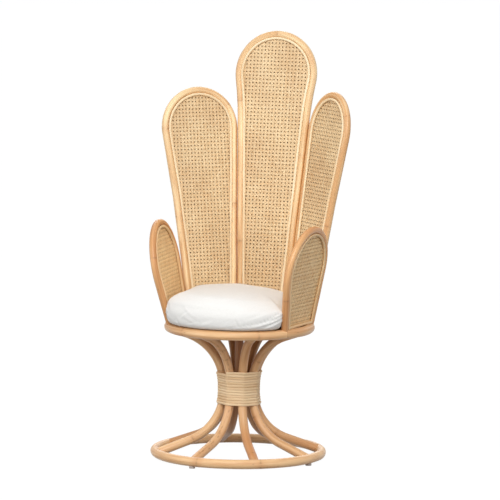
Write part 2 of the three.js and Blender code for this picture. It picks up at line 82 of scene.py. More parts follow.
# %% Place the camera
VIEW_TURN = math.radians(19.62)
VIEW_ELEVATION = math.radians(7.62)
VIEW_ROLL = math.radians(0.60)
VIEW_DISTANCE = 15.064
FOCAL_PIXELS = 4563
PICTURE_PIXELS = 500
SEAT_RING_PIXEL = (239.53, 326.56)

seat_middle = AXIS + Vector((0, 0, SEAT_RING_HEIGHT))
backward = Vector((
    math.sin(VIEW_TURN) * math.cos(VIEW_ELEVATION),
    -math.cos(VIEW_TURN) * math.cos(VIEW_ELEVATION),
    math.sin(VIEW_ELEVATION),
))
level = Vector((math.cos(VIEW_TURN), math.sin(VIEW_TURN), 0))
upward = backward.cross(level)
rightward = level * math.cos(VIEW_ROLL) + upward * math.sin(VIEW_ROLL)
topward = upward * math.cos(VIEW_ROLL) - level * math.sin(VIEW_ROLL)
metres_per_pixel = VIEW_DISTANCE / FOCAL_PIXELS
aim = (
    seat_middle
    + rightward * (PICTURE_PIXELS / 2 - SEAT_RING_PIXEL[0]) * metres_per_pixel
    + topward * (SEAT_RING_PIXEL[1] - PICTURE_PIXELS / 2) * metres_per_pixel
)
stand = seat_middle + backward * VIEW_DISTANCE
look = (stand - aim).normalized()
side = (rightward - look * rightward.dot(look)).normalized()
bpy.ops.object.camera_add(location=stand)
camera = bpy.context.object
camera_axes = Matrix((side, look.cross(side), look)).transposed().to_4x4()
camera.matrix_world = Matrix.Translation(stand) @ camera_axes
camera.data.sensor_width = 36
camera.data.lens = camera.data.sensor_width * FOCAL_PIXELS / PICTURE_PIXELS
bpy.context.scene.camera = camera
print("camera at", tuple(round(v, 3) for v in stand), "lens", round(camera.data.lens, 1))

# %% [markdown]
# ## The studio
# The picture is a cut-out on white, lit softly from above and in front. A pale floor takes a faint
# shadow. The floor and the world are white only where they are looked at, by the camera or in a
# reflection, so their white throws no extra light on the chair. A wide lamp in front and above gives the
# shine on the poles, two weak ones fill the sides, a faint one hangs over the chair, and one behind
# lets the back show its weave too.

# %% Floor, world and lamps
def add_node(tree, kind, settings=None, **values):
    """A node of that kind; settings are its own properties, and values fill its inputs by name."""
    made = tree.nodes.new(kind)
    for key, value in (settings or {}).items():
        setattr(made, key, value)
    for key, value in values.items():
        made.inputs[key.replace("_", " ")].default_value = value
    return made


def join(tree, output, target):
    tree.links.new(output, target)


def seen_directly(tree):
    """1 where the camera, a mirror or glass looks, and 0 for the light that falls on the chair."""
    path = add_node(tree, "ShaderNodeLightPath")
    first = add_node(tree, "ShaderNodeMath", {"operation": "MAXIMUM"})
    join(tree, path.outputs["Is Camera Ray"], first.inputs[0])
    join(tree, path.outputs["Is Glossy Ray"], first.inputs[1])
    both = add_node(tree, "ShaderNodeMath", {"operation": "MAXIMUM"})
    join(tree, first.outputs[0], both.inputs[0])
    join(tree, path.outputs["Is Transmission Ray"], both.inputs[1])
    return both.outputs[0]


SKY_LIGHT = 0.48
world = bpy.data.worlds.new("studio_white")
world.use_nodes = True
bpy.context.scene.world = world
sky = world.node_tree
sky.nodes.clear()
shown = add_node(sky, "ShaderNodeBackground", Color=(1, 1, 1, 1), Strength=1.0)
lit = add_node(sky, "ShaderNodeBackground", Color=(1, 1, 1, 1), Strength=SKY_LIGHT)
sky_mix = add_node(sky, "ShaderNodeMixShader")
join(sky, seen_directly(sky), sky_mix.inputs[0])
join(sky, lit.outputs[0], sky_mix.inputs[1])
join(sky, shown.outputs[0], sky_mix.inputs[2])
join(sky, sky_mix.outputs[0], add_node(sky, "ShaderNodeOutputWorld").inputs["Surface"])

SHADOW_SHARE = 0.20
PAPER_WHITE = 1.22
PAPER_GREY = 0.3
FLOOR_SIZE = 60
bpy.ops.mesh.primitive_plane_add(size=FLOOR_SIZE, location=(0, 0, 0))
floor = bpy.context.object
floor.name = "studio_floor"
paper = bpy.data.materials.new("studio_paper")
paper.use_nodes = True
tree = paper.node_tree
tree.nodes.clear()
matt = add_node(tree, "ShaderNodeBsdfDiffuse", Color=(PAPER_GREY, PAPER_GREY, PAPER_GREY, 1))
glow = add_node(tree, "ShaderNodeEmission", Color=(1, 1, 1, 1), Strength=PAPER_WHITE)
direct = seen_directly(tree)
share = add_node(tree, "ShaderNodeMath", {"operation": "MULTIPLY"})
share.inputs[1].default_value = 1 - SHADOW_SHARE
join(tree, direct, share.inputs[0])
paper_mix = add_node(tree, "ShaderNodeMixShader")
join(tree, share.outputs[0], paper_mix.inputs[0])
join(tree, matt.outputs[0], paper_mix.inputs[1])
join(tree, glow.outputs[0], paper_mix.inputs[2])
join(tree, paper_mix.outputs[0], add_node(tree, "ShaderNodeOutputMaterial").inputs["Surface"])
floor.data.materials.append(paper)


def soft_lamp(name, place, target, size, power):
    bpy.ops.object.light_add(type="AREA", location=place)
    lamp = bpy.context.object
    lamp.name = name
    lamp.rotation_euler = (Vector(target) - Vector(place)).to_track_quat("-Z", "Y").to_euler()
    lamp.data.size = size
    lamp.data.energy = power


soft_lamp("key_softbox", (0.90, -3.15, 2.95), (0, 0, 0.75), 2.0, 97)
soft_lamp("left_softbox", (-2.2, -2.6, 0.9), (0, 0, 0.6), 1.8, 22)
soft_lamp("right_softbox", (2.7, -1.9, 1.0), (0, 0, 0.6), 1.6, 11)
soft_lamp("top_softbox", (0.0, -0.2, 3.6), (0, 0, 0.7), 1.6, 8)
soft_lamp("back_softbox", (-1.2, 3.3, 2.3), (0, 0, 0.7), 2.0, 30)

# %% [markdown]
# ## Rattan
# Rattan is a climbing palm whose stem grows in lengths with a ring, or node, between them. Its skin
# has fine fibres along the stem, each length has its own tint, and small dark specks are left by the
# thorns. All the rattan on this chair is bent: a straight stick is steamed and pulled round a form.
#
# A bent stick could be extruded ring by ring, but a curve with a round bevel is the same thing as the
# craft: one line that is bent, with a thickness along it. So each stick is a curve whose points also
# swell at the nodes. The curve is then made a mesh, and each vertex keeps four attributes: its place
# on the stick as if it were still straight (grain), how near a node it is (ring, and knuckle for the
# wider blush round it), and the tint of its length. A texture that reads these follows every bend. The
# knuckle attribute also takes the stains that single sticks have.

# %% How a swept stick becomes a mesh
NODE_STEPS = (-0.014, -0.008, -0.004, -0.002, -0.0008, 0, 0.0008, 0.002, 0.004, 0.008, 0.014)
NODE_SWELL, NODE_SWELL_REACH = 0.022, 0.010
NODE_NICK, NODE_NICK_REACH = 0.016, 0.0014
WAVER, WAVER_LENGTH = 0.006, 0.17
KNUCKLE_REACH = 0.016
RING_REACH = 0.0030
TINT_SPREAD = 0.35
FAR_AWAY = 9.0


def only(piece):
    bpy.ops.object.select_all(action="DESELECT")
    piece.select_set(True)
    bpy.context.view_layer.objects.active = piece


def write_attribute(mesh, name, values):
    values = np.asarray(values, np.float32)
    kind, field = ("FLOAT_VECTOR", "vector") if values.ndim == 2 else ("FLOAT", "value")
    mesh.attributes.new(name, kind, "POINT").data.foreach_set(field, values.ravel())


def close_and_smooth(piece, angle=50):
    """Fills the open ends, turns the faces outwards and smooths all but the sharp edges."""
    only(piece)
    bpy.ops.object.mode_set(mode="EDIT")
    bpy.ops.mesh.select_all(action="SELECT")
    bpy.ops.mesh.fill_holes(sides=0)
    bpy.ops.mesh.select_all(action="SELECT")
    bpy.ops.mesh.normals_make_consistent(inside=False)
    bpy.ops.object.mode_set(mode="OBJECT")
    bpy.ops.object.shade_smooth_by_angle(angle=math.radians(angle))


def swept(name, runs, profile=None, thickness=0.0, sides=12, upright=False):
    """A mesh swept along runs; each is a dict of points and what each point has, such as its radius."""
    bpy.ops.object.select_all(action="DESELECT")
    bpy.ops.curve.primitive_nurbs_path_add(location=(0, 0, 0))
    piece = bpy.context.object
    piece.name = name
    line = piece.data
    line.splines.clear()
    for run in runs:
        count = len(run["points"])
        spline = line.splines.new("POLY")
        spline.points.add(count - 1)
        spline.points.foreach_set("co", np.column_stack([run["points"], np.ones(count)]).ravel())
        for key, usual in (("radius", 1.0), ("tilt", 0.0)):
            spline.points.foreach_set(key, np.broadcast_to(run.get(key, usual), count).astype(float))
    line.dimensions = "3D"
    line.fill_mode = "FULL"
    line.use_fill_caps = False
    line.twist_mode = "Z_UP" if upright else "MINIMUM"
    if profile is None:
        line.bevel_depth = thickness / 2
        line.bevel_resolution = (sides - 4) // 2
        turn = 2 * np.pi * np.arange(sides) / sides
        section = np.column_stack([np.cos(turn), np.sin(turn)]) * thickness / 2
    else:
        line.bevel_mode = "OBJECT"
        line.bevel_object = profile
        section = np.array([point.co[:2] for point in profile.data.splines[0].points])
    bpy.ops.object.convert(target="MESH")
    piece = bpy.context.object
    piece.data.name = name
    along = np.concatenate([np.asarray(run["along"], float) for run in runs])
    around = np.tile(section, (len(along), 1))
    assert len(piece.data.vertices) == len(around), (name, len(piece.data.vertices), len(around))
    write_attribute(piece.data, "grain", np.column_stack([around, np.repeat(along, len(section))]))
    for key in ("ring", "knuckle", "tint"):
        per_run = [np.broadcast_to(run.get(key, 0.0), len(run["points"])) for run in runs]
        write_attribute(piece.data, key, np.repeat(np.concatenate(per_run), len(section)))
    close_and_smooth(piece)
    return piece


def distances(points):
    return np.concatenate([[0], np.cumsum(np.linalg.norm(np.diff(points, axis=0), axis=1))])


def hump(distance, reach):
    """A smooth bump: 1 at no distance, and soon 0 beyond its reach."""
    return np.exp(-((distance / reach) ** 2))


def stick(route, seed, step=0.010, internode=(0.19, 0.36), tone=0.0, nodes=None, stains=()):
    """One rattan stick along a route: stations every step and at its nodes, where it swells a little.

    Nodes fall by chance unless their places are given; stains are (place, half length, strength)."""
    chance = random.Random(seed)
    route = np.array([tuple(point) for point in route])
    run = distances(route)
    if nodes is None:
        nodes = []
        at = chance.uniform(0.04, internode[1])
        while at < run[-1] - 0.02:
            nodes.append(at)
            at += chance.uniform(*internode)
    marks = list(np.linspace(0, run[-1], max(2, round(run[-1] / step) + 1)))
    marks += [node + shift for node in nodes for shift in NODE_STEPS]
    marks = np.unique(np.round([mark for mark in marks if 0 <= mark <= run[-1]], 4))
    marks[-1] = run[-1]
    nearest = np.min(np.abs(marks[:, None] - np.array(nodes or [FAR_AWAY])[None, :]), axis=1)
    swell = 1 + NODE_SWELL * hump(nearest, NODE_SWELL_REACH) - NODE_NICK * hump(nearest, NODE_NICK_REACH)
    swell += WAVER * np.sin(marks * 2 * np.pi / WAVER_LENGTH + chance.uniform(0, 6))
    tints = [tone + chance.uniform(-TINT_SPREAD, TINT_SPREAD) for _ in range(len(nodes) + 1)]
    knuckle = hump(nearest, KNUCKLE_REACH)
    for place, half, strength in stains:
        knuckle = knuckle + strength * np.exp(-(((marks - place) / half) ** 4))
    return {
        "points": np.column_stack([np.interp(marks, run, route[:, k]) for k in range(3)]),
        "radius": swell,
        "along": marks + chance.uniform(0, 40),
        "ring": hump(nearest, RING_REACH),
        "knuckle": knuckle,
        "tint": np.array([tints[sum(node < mark for node in nodes)] for mark in marks]),
    }


print("a stick is swept with", len(NODE_STEPS), "stations at each node")

# %% [markdown]
# The skin is one node group for every rattan finish: poles, beads, cane and peel differ only in their
# colours and in how strongly fibres, specks and rings show. The fibres are a noise that is stretched
# along the stick, the cloudy tone is a coarser one, and the specks are cells of a Voronoi texture of
# which only a few are kept. Gloss and bump come out of the same fibres, so they line up. A last mask,
# the groove between two sticks, is measured later and darkens the skin there as painted shade.

# %% The rattan skin group
def math_node(tree, operation, first, second=None, clamp=False):
    made = add_node(tree, "ShaderNodeMath", {"operation": operation, "use_clamp": clamp})
    for index, value in enumerate((first, second)):
        if value is None:
            continue
        if isinstance(value, (int, float)):
            made.inputs[index].default_value = value
        else:
            join(tree, value, made.inputs[index])
    return made.outputs[0]


def times(tree, first, second):
    return math_node(tree, "MULTIPLY", first, second)


def plus(tree, first, second, clamp=False):
    return math_node(tree, "ADD", first, second, clamp)


def minus(tree, first, second, clamp=False):
    return math_node(tree, "SUBTRACT", first, second, clamp)


def swing(tree, value, strength):
    """Moves a value between 0 and 1 to either side of 0, as strongly as asked."""
    return times(tree, strength, minus(tree, value, 0.5))


def colour_mix(tree, factor, first, second, blend="MIX"):
    settings = {"data_type": "RGBA", "blend_type": blend, "clamp_factor": True}
    made = add_node(tree, "ShaderNodeMix", settings)
    sockets = (made.inputs["Factor"], made.inputs[6], made.inputs[7])
    for socket, value in zip(sockets, (factor, first, second)):
        if isinstance(value, (int, float, tuple)):
            socket.default_value = value
        else:
            join(tree, value, socket)
    return made.outputs[2]


def stretched_noise(tree, vector, scale, detail=2.0, roughness=0.5):
    mapping = add_node(tree, "ShaderNodeMapping", Scale=scale)
    join(tree, vector, mapping.inputs["Vector"])
    noise = add_node(tree, "ShaderNodeTexNoise", Scale=1.0, Detail=detail, Roughness=roughness)
    join(tree, mapping.outputs[0], noise.inputs["Vector"])
    return noise.outputs["Fac"]


def ramp(tree, value, low, high):
    made = add_node(tree, "ShaderNodeMapRange", {"clamp": True})
    made.inputs["From Min"].default_value = low
    made.inputs["From Max"].default_value = high
    join(tree, value, made.inputs["Value"])
    return made.outputs["Result"]


def new_group(name, inputs, outputs):
    group = bpy.data.node_groups.new(name, "ShaderNodeTree")
    for key, kind, value in inputs:
        socket = group.interface.new_socket(key, in_out="INPUT", socket_type=kind)
        if value is not None:
            socket.default_value = value
    for key, kind in outputs:
        group.interface.new_socket(key, in_out="OUTPUT", socket_type=kind)
    return group, group.nodes.new("NodeGroupInput").outputs, group.nodes.new("NodeGroupOutput").inputs


GROOVE_PAINTED_SHADE = (0.70, 0.42, 0.15, 1.0)
rattan_skin, given, result = new_group(
    "rattan_skin",
    [
        ("Pale", "NodeSocketColor", (0.8, 0.5, 0.24, 1)),
        ("Deep", "NodeSocketColor", (0.5, 0.25, 0.09, 1)),
        ("Blush", "NodeSocketColor", (0.62, 0.28, 0.11, 1)),
        ("Speck", "NodeSocketColor", (0.16, 0.07, 0.03, 1)),
        ("Fibres", "NodeSocketFloat", 0.32),
        ("Clouds", "NodeSocketFloat", 0.6),
        ("Specks", "NodeSocketFloat", 0.6),
        ("Speck rarity", "NodeSocketFloat", 0.978),
        ("Speck size", "NodeSocketFloat", 0.34),
        ("Pith", "NodeSocketFloat", 0.0),
        ("Rings", "NodeSocketFloat", 0.36),
        ("Warmth", "NodeSocketFloat", 0.35),
        ("Gloss", "NodeSocketFloat", 0.4),
    ],
    [("Colour", "NodeSocketColor"), ("Roughness", "NodeSocketFloat"), ("Height", "NodeSocketFloat")],
)
g = rattan_skin


def stick_attribute(name, output="Fac"):
    return add_node(g, "ShaderNodeAttribute", {"attribute_name": name}).outputs[output]


grain = stick_attribute("grain", "Vector")
ring, knuckle, tint, groove = [stick_attribute(name) for name in ("ring", "knuckle", "tint", "groove")]
fibre = ramp(g, stretched_noise(g, grain, (700, 700, 12), 2.0), 0.30, 0.70)
streak = ramp(g, stretched_noise(g, grain, (260, 260, 5), 2.0), 0.32, 0.68)
cloud = ramp(g, stretched_noise(g, grain, (95, 95, 5), 1.0), 0.30, 0.70)
shade = swing(g, fibre, times(g, given["Fibres"], 0.2))
shade = plus(g, shade, swing(g, streak, given["Fibres"]))
shade = plus(g, shade, swing(g, cloud, given["Clouds"]))
shade = plus(g, shade, plus(g, times(g, tint, 0.55), 0.40), clamp=True)
skin = colour_mix(g, shade, given["Pale"], given["Deep"])
patch = ramp(g, stretched_noise(g, grain, (40, 40, 9), 2.0), 0.48, 0.74)
blush = plus(g, patch, times(g, knuckle, 0.6))
skin = colour_mix(g, times(g, blush, given["Warmth"]), skin, given["Blush"])
speck_map = add_node(g, "ShaderNodeMapping", Scale=(190, 190, 62))
join(g, grain, speck_map.inputs["Vector"])
cells = add_node(g, "ShaderNodeTexVoronoi", {"feature": "F1"}, Scale=1.0, Randomness=1.0)
join(g, speck_map.outputs[0], cells.inputs["Vector"])
chosen = add_node(g, "ShaderNodeSeparateColor")
join(g, cells.outputs["Color"], chosen.inputs[0])
kept = math_node(g, "GREATER_THAN", chosen.outputs[0], given["Speck rarity"])
far = math_node(g, "DIVIDE", cells.outputs["Distance"], given["Speck size"])
speck = times(g, times(g, kept, minus(g, 1.0, far, clamp=True)), given["Specks"])
skin = colour_mix(g, speck, skin, given["Speck"])
ring_line = times(g, times(g, ring, given["Rings"]), ramp(g, cloud, 0.25, 0.75))
skin = colour_mix(g, ring_line, skin, given["Speck"])
section = add_node(g, "ShaderNodeSeparateXYZ")
join(g, grain, section.inputs[0])
# Painted shade: the undersides of the strands, which face the other layer of cane and are seen through
# its holes, are darkened.
underside_shade = minus(g, 1.0, ramp(g, section.outputs["Y"], -0.00012, 0.00005))
skin = colour_mix(g, times(g, underside_shade, given["Pith"]), skin, given["Speck"])
# Painted shade: the groove between two neighbouring poles is darkened.
skin = colour_mix(g, groove, skin, GROOVE_PAINTED_SHADE, blend="MULTIPLY")
join(g, skin, result["Colour"])
gloss = plus(g, given["Gloss"], swing(g, cloud, 0.16))
gloss = plus(g, gloss, times(g, fibre, 0.04))
join(g, plus(g, gloss, times(g, speck, 0.25), clamp=True), result["Roughness"])
height = plus(g, times(g, fibre, 0.08), times(g, streak, 0.3))
join(g, minus(g, height, times(g, speck, 0.8)), result["Height"])
print("rattan skin has", len(g.nodes), "nodes")

# %% [markdown]
# Ten finishes share the skin. The pedestal's poles are honey, but one is mottled, and the post and three
# poles towards the back, which stand in the shade under the seat, take a darker copy as painted shade.
# The petals' poles are lighter, and all the rattan of the arms is more orange. The beads are peeled
# core, nearly cream. The cane is the outer skin, split into flat strands; their undersides face the other
# layer and are seen through its holes, so they are darkened as painted shade. Soft patches over a whole
# panel break its evenness. The peel of the winding is dull, without lacquer.

# %% The rattan finishes
def srgb(red, green, blue):
    """A colour given as it looks on a screen, 0 to 255, in the linear values that a shader takes."""
    def linear(value):
        value /= 255
        return value / 12.92 if value <= 0.04045 else ((value + 0.055) / 1.055) ** 2.4
    return (linear(red), linear(green), linear(blue), 1.0)


def new_finish(name):
    """A material with its tree and its Principled shader."""
    material = bpy.data.materials.new(name)
    material.use_nodes = True
    return material, material.node_tree, material.node_tree.nodes["Principled BSDF"]


def raise_relief(tree, shader, height, strength, distance):
    relief = add_node(tree, "ShaderNodeBump", Strength=strength, Distance=distance)
    join(tree, height, relief.inputs["Height"])
    join(tree, relief.outputs["Normal"], shader.inputs["Normal"])


SHADE_OF_PATCHES = srgb(190, 142, 94)


def rattan_finish(name, pale, deep, bump, coat, specular=0.4, patches=0.0, **values):
    """A finish from two colours; other values fill the skin's inputs by name."""
    material, tree, shader = new_finish(name)
    skin = add_node(tree, "ShaderNodeGroup", {"node_tree": rattan_skin}, **values)
    skin.inputs["Pale"].default_value = srgb(*pale)
    skin.inputs["Deep"].default_value = srgb(*deep)
    colour = skin.outputs["Colour"]
    if patches:
        place = add_node(tree, "ShaderNodeTexCoord").outputs["Object"]
        cloudy = ramp(tree, stretched_noise(tree, place, (9, 9, 7), 2.0), 0.42, 0.72)
        colour = colour_mix(tree, times(tree, cloudy, patches), colour, SHADE_OF_PATCHES)
    join(tree, colour, shader.inputs["Base Color"])
    join(tree, skin.outputs["Roughness"], shader.inputs["Roughness"])
    raise_relief(tree, shader, skin.outputs["Height"], 0.12, bump)
    shader.inputs["Specular IOR Level"].default_value = specular
    shader.inputs["Coat Weight"].default_value = coat
    shader.inputs["Coat Roughness"].default_value = 0.28
    return material


honey_pole = rattan_finish(
    "honey_pole", (240, 198, 148), (194, 139, 89), 0.0003, 0.12, Gloss=0.42, Warmth=0.4)
petal_pole = rattan_finish(
    "petal_pole", (251, 223, 176), (214, 165, 112), 0.0003, 0.12, Gloss=0.42, Clouds=0.75, Warmth=0.3)
mottled_pole = rattan_finish(
    "mottled_pole", (238, 194, 146), (196, 142, 94), 0.0003, 0.12, Gloss=0.45, Specks=0.55,
    Speck_rarity=0.72, Speck_size=0.55)
# A darker copy of the honey finish, as painted shade, for the post and the poles under the seat.
painted_shade_pole = rattan_finish("painted_shade_pole", (214, 164, 112), (160, 108, 66), 0.0003, 0.12, Gloss=0.45)
arm_pole = rattan_finish(
    "arm_pole", (230, 178, 122), (182, 124, 74), 0.0003, 0.12, Gloss=0.42, Warmth=0.5)
core_bead = rattan_finish(
    "core_bead", (250, 232, 198), (234, 204, 160), 0.0002, 0.05,
    Gloss=0.5, Specks=0.2, Rings=0.0, Fibres=0.4, Warmth=0.05)
arm_bead = rattan_finish(
    "arm_bead", (238, 208, 162), (214, 174, 124), 0.0002, 0.05,
    Gloss=0.5, Specks=0.2, Rings=0.0, Fibres=0.4, Warmth=0.1)
# The cane's strand undersides are darkened as painted shade, so that the holes look dark.
cane_strand = rattan_finish(
    "cane_strand", (242, 217, 175), (216, 180, 131), 0.0002, 0.05,
    patches=0.30, Gloss=0.5, Specks=0.3, Rings=0.0, Clouds=0.35, Warmth=0.12, Pith=0.15)
arm_cane_strand = rattan_finish(
    "arm_cane_strand", (253, 223, 172), (230, 181, 122), 0.0002, 0.05,
    patches=0.25, Gloss=0.5, Specks=0.3, Rings=0.0, Clouds=0.35, Warmth=0.2, Pith=0.45)
wound_peel = rattan_finish(
    "wound_peel", (248, 221, 182), (220, 183, 138), 0.0003, 0.0, 0.25,
    Gloss=0.62, Specks=0.3, Rings=0.2, Fibres=0.6, Warmth=0.12)
RATTANS = (
    honey_pole, petal_pole, mottled_pole, painted_shade_pole, arm_pole, core_bead, arm_bead, cane_strand,
    arm_cane_strand, wound_peel)
print("finishes", [material.name for material in RATTANS])

# %% [markdown]
# ## The rings and the pedestal
# The base ring is one stick bent to a full circle, with its two ends butted. The seat ring is sawn
# from two arcs, a short one at the front and a long one behind, and the joint shows beside the arm.
# A torus would close the ring without a joint, so an open arc is swept instead.

# %% Base ring and seat ring
def finish_piece(piece, material, slot, *nodes, body="frame"):
    """Gives a piece its finish and body, and hides the CAD nodes it stands for; slot is not used."""
    piece.data.materials.clear()
    piece.data.materials.append(material)
    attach(piece, body)
    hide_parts(*nodes)
    count = sum(len(face.vertices) - 2 for face in piece.data.polygons)
    print(piece.name, "has", count, "triangles")
    return piece


def around_axis(angle, radius, height):
    """A point at an angle from the back, +Y, towards +X."""
    return AXIS + Vector((radius * math.sin(angle), radius * math.cos(angle), height))


def ring_arc(radius, height, start, end, step=math.radians(1.5)):
    count = math.ceil((end - start) / step)
    return [around_axis(start + (end - start) * k / count, radius, height) for k in range(count + 1)]


JOINT_GAP = 0.0003
base_joint = math.radians(-20)
half_gap = JOINT_GAP / 2 / BASE_RING_RADIUS
base_end = base_joint + 2 * math.pi
base_route = ring_arc(BASE_RING_RADIUS, BASE_RING_HEIGHT, base_joint + half_gap, base_end - half_gap)
base_stick = stick(
    base_route, 11, tone=-0.45, nodes=(0.20, 0.50, 0.795, 1.0, 1.30, 1.58), stains=((1.0, 0.022, 0.7),))
base_ring = swept("bent_base_ring", [base_stick], thickness=RING_THICKNESS, sides=24)
finish_piece(base_ring, honey_pole, "pole", "base_ring")

# %% [markdown]
# Where the seat ring is sawn depends on the petals: the joint is under the arms' front legs. So the
# petals' angles come next. Each petal stands on a share of the ring, and two poles meet at every seam.

# %% The petals' places on the ring
SEAM_HALF_ANGLE = math.asin((PETAL_POLE_THICKNESS / 2 + FIT_GAP / 2) / SEAT_RING_RADIUS)
FOOT_RISE = 0.008
SHAPES = {
    "centre": dict(lean=math.radians(8.5), foot=math.radians(19.1), overhang=0.0563, height=0.814),
    "side": dict(lean=math.radians(9.0), foot=math.radians(19.5), overhang=0.0482, height=0.632),
    "arm": dict(lean=math.radians(10.8), foot=math.radians(25.8), overhang=0.0366, height=0.198),
}
CENTRE_NECK_RISE = 0.034
ARM_HEAD_SHIFT = 0.024
side_angle = SHAPES["centre"]["foot"] + 2 * SEAM_HALF_ANGLE + SHAPES["side"]["foot"]
arm_angle = side_angle + SHAPES["side"]["foot"] + 2 * SEAM_HALF_ANGLE + SHAPES["arm"]["foot"]
front_angle = arm_angle + SHAPES["arm"]["foot"]
for shape in SHAPES.values():
    shape["half_width"] = SEAT_RING_RADIUS * math.sin(shape["foot"])
    shape["foot_radius"] = SEAT_RING_RADIUS * math.cos(shape["foot"])
    shape["round"] = shape["half_width"] + shape["overhang"]
    shape["tilt"] = math.atan(math.sin(shape["lean"]) * math.tan(shape["foot"] + SEAM_HALF_ANGLE))
print("petals at", [round(math.degrees(a), 2) for a in (0, side_angle, arm_angle)])

half_gap = JOINT_GAP / 2 / SEAT_RING_RADIUS
back_end = front_angle - half_gap
front_start = front_angle + half_gap
back_route = ring_arc(SEAT_RING_RADIUS, SEAT_RING_HEIGHT, -back_end, back_end)
front_route = ring_arc(SEAT_RING_RADIUS, SEAT_RING_HEIGHT, front_start, 2 * math.pi - front_start)
back_stick = stick(back_route, 23, tone=0.2)
seat_back = swept("bent_seat_ring_back", [back_stick], thickness=RING_THICKNESS, sides=24)
finish_piece(seat_back, honey_pole, "pole", "seat_ring_back")
front_stick = stick(front_route, 31, tone=0.1, nodes=(0.098, 0.36))
seat_front = swept("bent_seat_ring_front", [front_stick], thickness=RING_THICKNESS, sides=24)
finish_piece(seat_front, honey_pole, "pole", "seat_ring_front")

# %% [markdown]
# Eight poles rise from the base ring, bend in to a narrow waist and flare out again to the seat. Each
# is a straight run, a bend, a short upright, a second bend and a straight run in one upright plane. The
# line is worked out once, from the slopes at both ends, and turned round the axis for each pole.

# %% The pedestal's poles and post
POLE_COUNT = 8
POLE_TURN = math.radians(13.4)
WAIST_RADIUS = 0.052
WAIST_HEIGHT = 0.2315
WAIST_STRAIGHT = 0.022
FOOT_SLOPE = math.radians(20)
SHOULDER_SLOPE = math.radians(19)
waist_bottom = WAIST_HEIGHT - WAIST_STRAIGHT / 2
waist_top = WAIST_HEIGHT + WAIST_STRAIGHT / 2
foot_corner = BASE_RING_HEIGHT + (BASE_RING_RADIUS - WAIST_RADIUS) * math.tan(FOOT_SLOPE)
shoulder_corner = SEAT_RING_HEIGHT - (SEAT_RING_RADIUS - WAIST_RADIUS) * math.tan(SHOULDER_SLOPE)
foot_bend = (waist_bottom - foot_corner) / math.tan(math.pi / 4 - FOOT_SLOPE / 2)
shoulder_bend = (shoulder_corner - waist_top) / math.tan(math.pi / 4 - SHOULDER_SLOPE / 2)


def bend_points(centre, radius, start, end, step=math.radians(3)):
    count = max(2, math.ceil(abs(end - start) / step))
    angles = [start + (end - start) * k / count for k in range(count + 1)]
    return [(centre[0] + radius * math.cos(a), centre[1] + radius * math.sin(a)) for a in angles]


pole_line = [(BASE_RING_RADIUS, BASE_RING_HEIGHT)]
pole_line += bend_points(
    (WAIST_RADIUS + foot_bend, waist_bottom), foot_bend, 1.5 * math.pi - FOOT_SLOPE, math.pi)
pole_line += bend_points(
    (WAIST_RADIUS + shoulder_bend, waist_top), shoulder_bend, math.pi, math.pi / 2 + SHOULDER_SLOPE)
pole_line.append((SEAT_RING_RADIUS, SEAT_RING_HEIGHT))


def pole_angle(index):
    return POLE_TURN + 2 * math.pi * index / POLE_COUNT


# Poles 1, 7 and 8, towards the back, take the darker copy, which is painted shade; pole 5 is mottled.
POLE_FINISHES = {0: painted_shade_pole, 4: mottled_pole, 6: painted_shade_pole, 7: painted_shade_pole}
POLE_TONES = (0.3, 0.4, 0.0, 0.25, 0.15, -0.05, 0.1, 0.4)
POLE_STAINS = {3: ((0.10, 0.10, 3.2),), 4: ((0.22, 0.05, 0.6),), 5: ((0.50, 0.05, 0.5),)}
for index in range(POLE_COUNT):
    route = [around_axis(pole_angle(index), radius, height) for radius, height in pole_line]
    made = stick(route, 40 + index, tone=POLE_TONES[index], stains=POLE_STAINS.get(index, ()))
    pole = swept(f"bent_pole_{index + 1}", [made], thickness=POLE_THICKNESS, sides=24)
    finish_piece(pole, POLE_FINISHES.get(index, honey_pole), "pole", f"pedestal_pole_{index + 1}")

post_low, post_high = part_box("centre_post")
post_route = [AXIS + Vector((0, 0, z)) for z in (post_low.z, post_high.z)]
# The post stands in the shade under the seat: its deep tone and darker finish are painted shade.
post = swept("straight_post", [stick(post_route, 60, tone=0.9)], thickness=POLE_THICKNESS, sides=24)
finish_piece(post, painted_shade_pole, "pole", "centre_post")

# %% [markdown]
# The waist is bound with a long strip of rattan peel. It runs straight from pole to pole and bends
# round each, and its turns lie side by side on the flare. A strip is a curve with a flat rounded
# profile; the curve keeps the profile upright, and a tilt at each point leans it with the flare.

# %% The winding at the waist
WRAP_TURNS = 12.5
WRAP_RISE = 0.0055
STRIP_HEIGHT = 0.0081
STRIP_THICKNESS = 0.0040
TURN_GAP = 0.0007
WRAP_GAP = 0.0007
wrap_stand_off = POLE_THICKNESS / 2 + WRAP_GAP + STRIP_THICKNESS / 2


def flat_profile(name, points):
    """A closed outline to sweep; it is only a tool and is removed when its pieces are made."""
    bpy.ops.object.select_all(action="DESELECT")
    bpy.ops.curve.primitive_nurbs_path_add()
    outline = bpy.context.object
    outline.name = name
    outline.data.splines.clear()
    outline.data.dimensions = "2D"
    count = len(points)
    spline = outline.data.splines.new("POLY")
    spline.points.add(count - 1)
    spline.points.foreach_set("co", np.column_stack([points, np.zeros(count), np.ones(count)]).ravel())
    spline.use_cyclic_u = True
    return outline


def waist_profile(along):
    """Radius and height of the poles' centres and the flare's angle, at a distance along the winding."""
    bent = math.copysign(max(0.0, abs(along) - WAIST_STRAIGHT / 2), along)
    bend = shoulder_bend if along > 0 else foot_bend
    flare = bent / (bend - wrap_stand_off)
    return (
        WAIST_RADIUS + bend * (1 - math.cos(flare)),
        WAIST_HEIGHT + along - bent + bend * math.sin(flare),
        flare,
    )


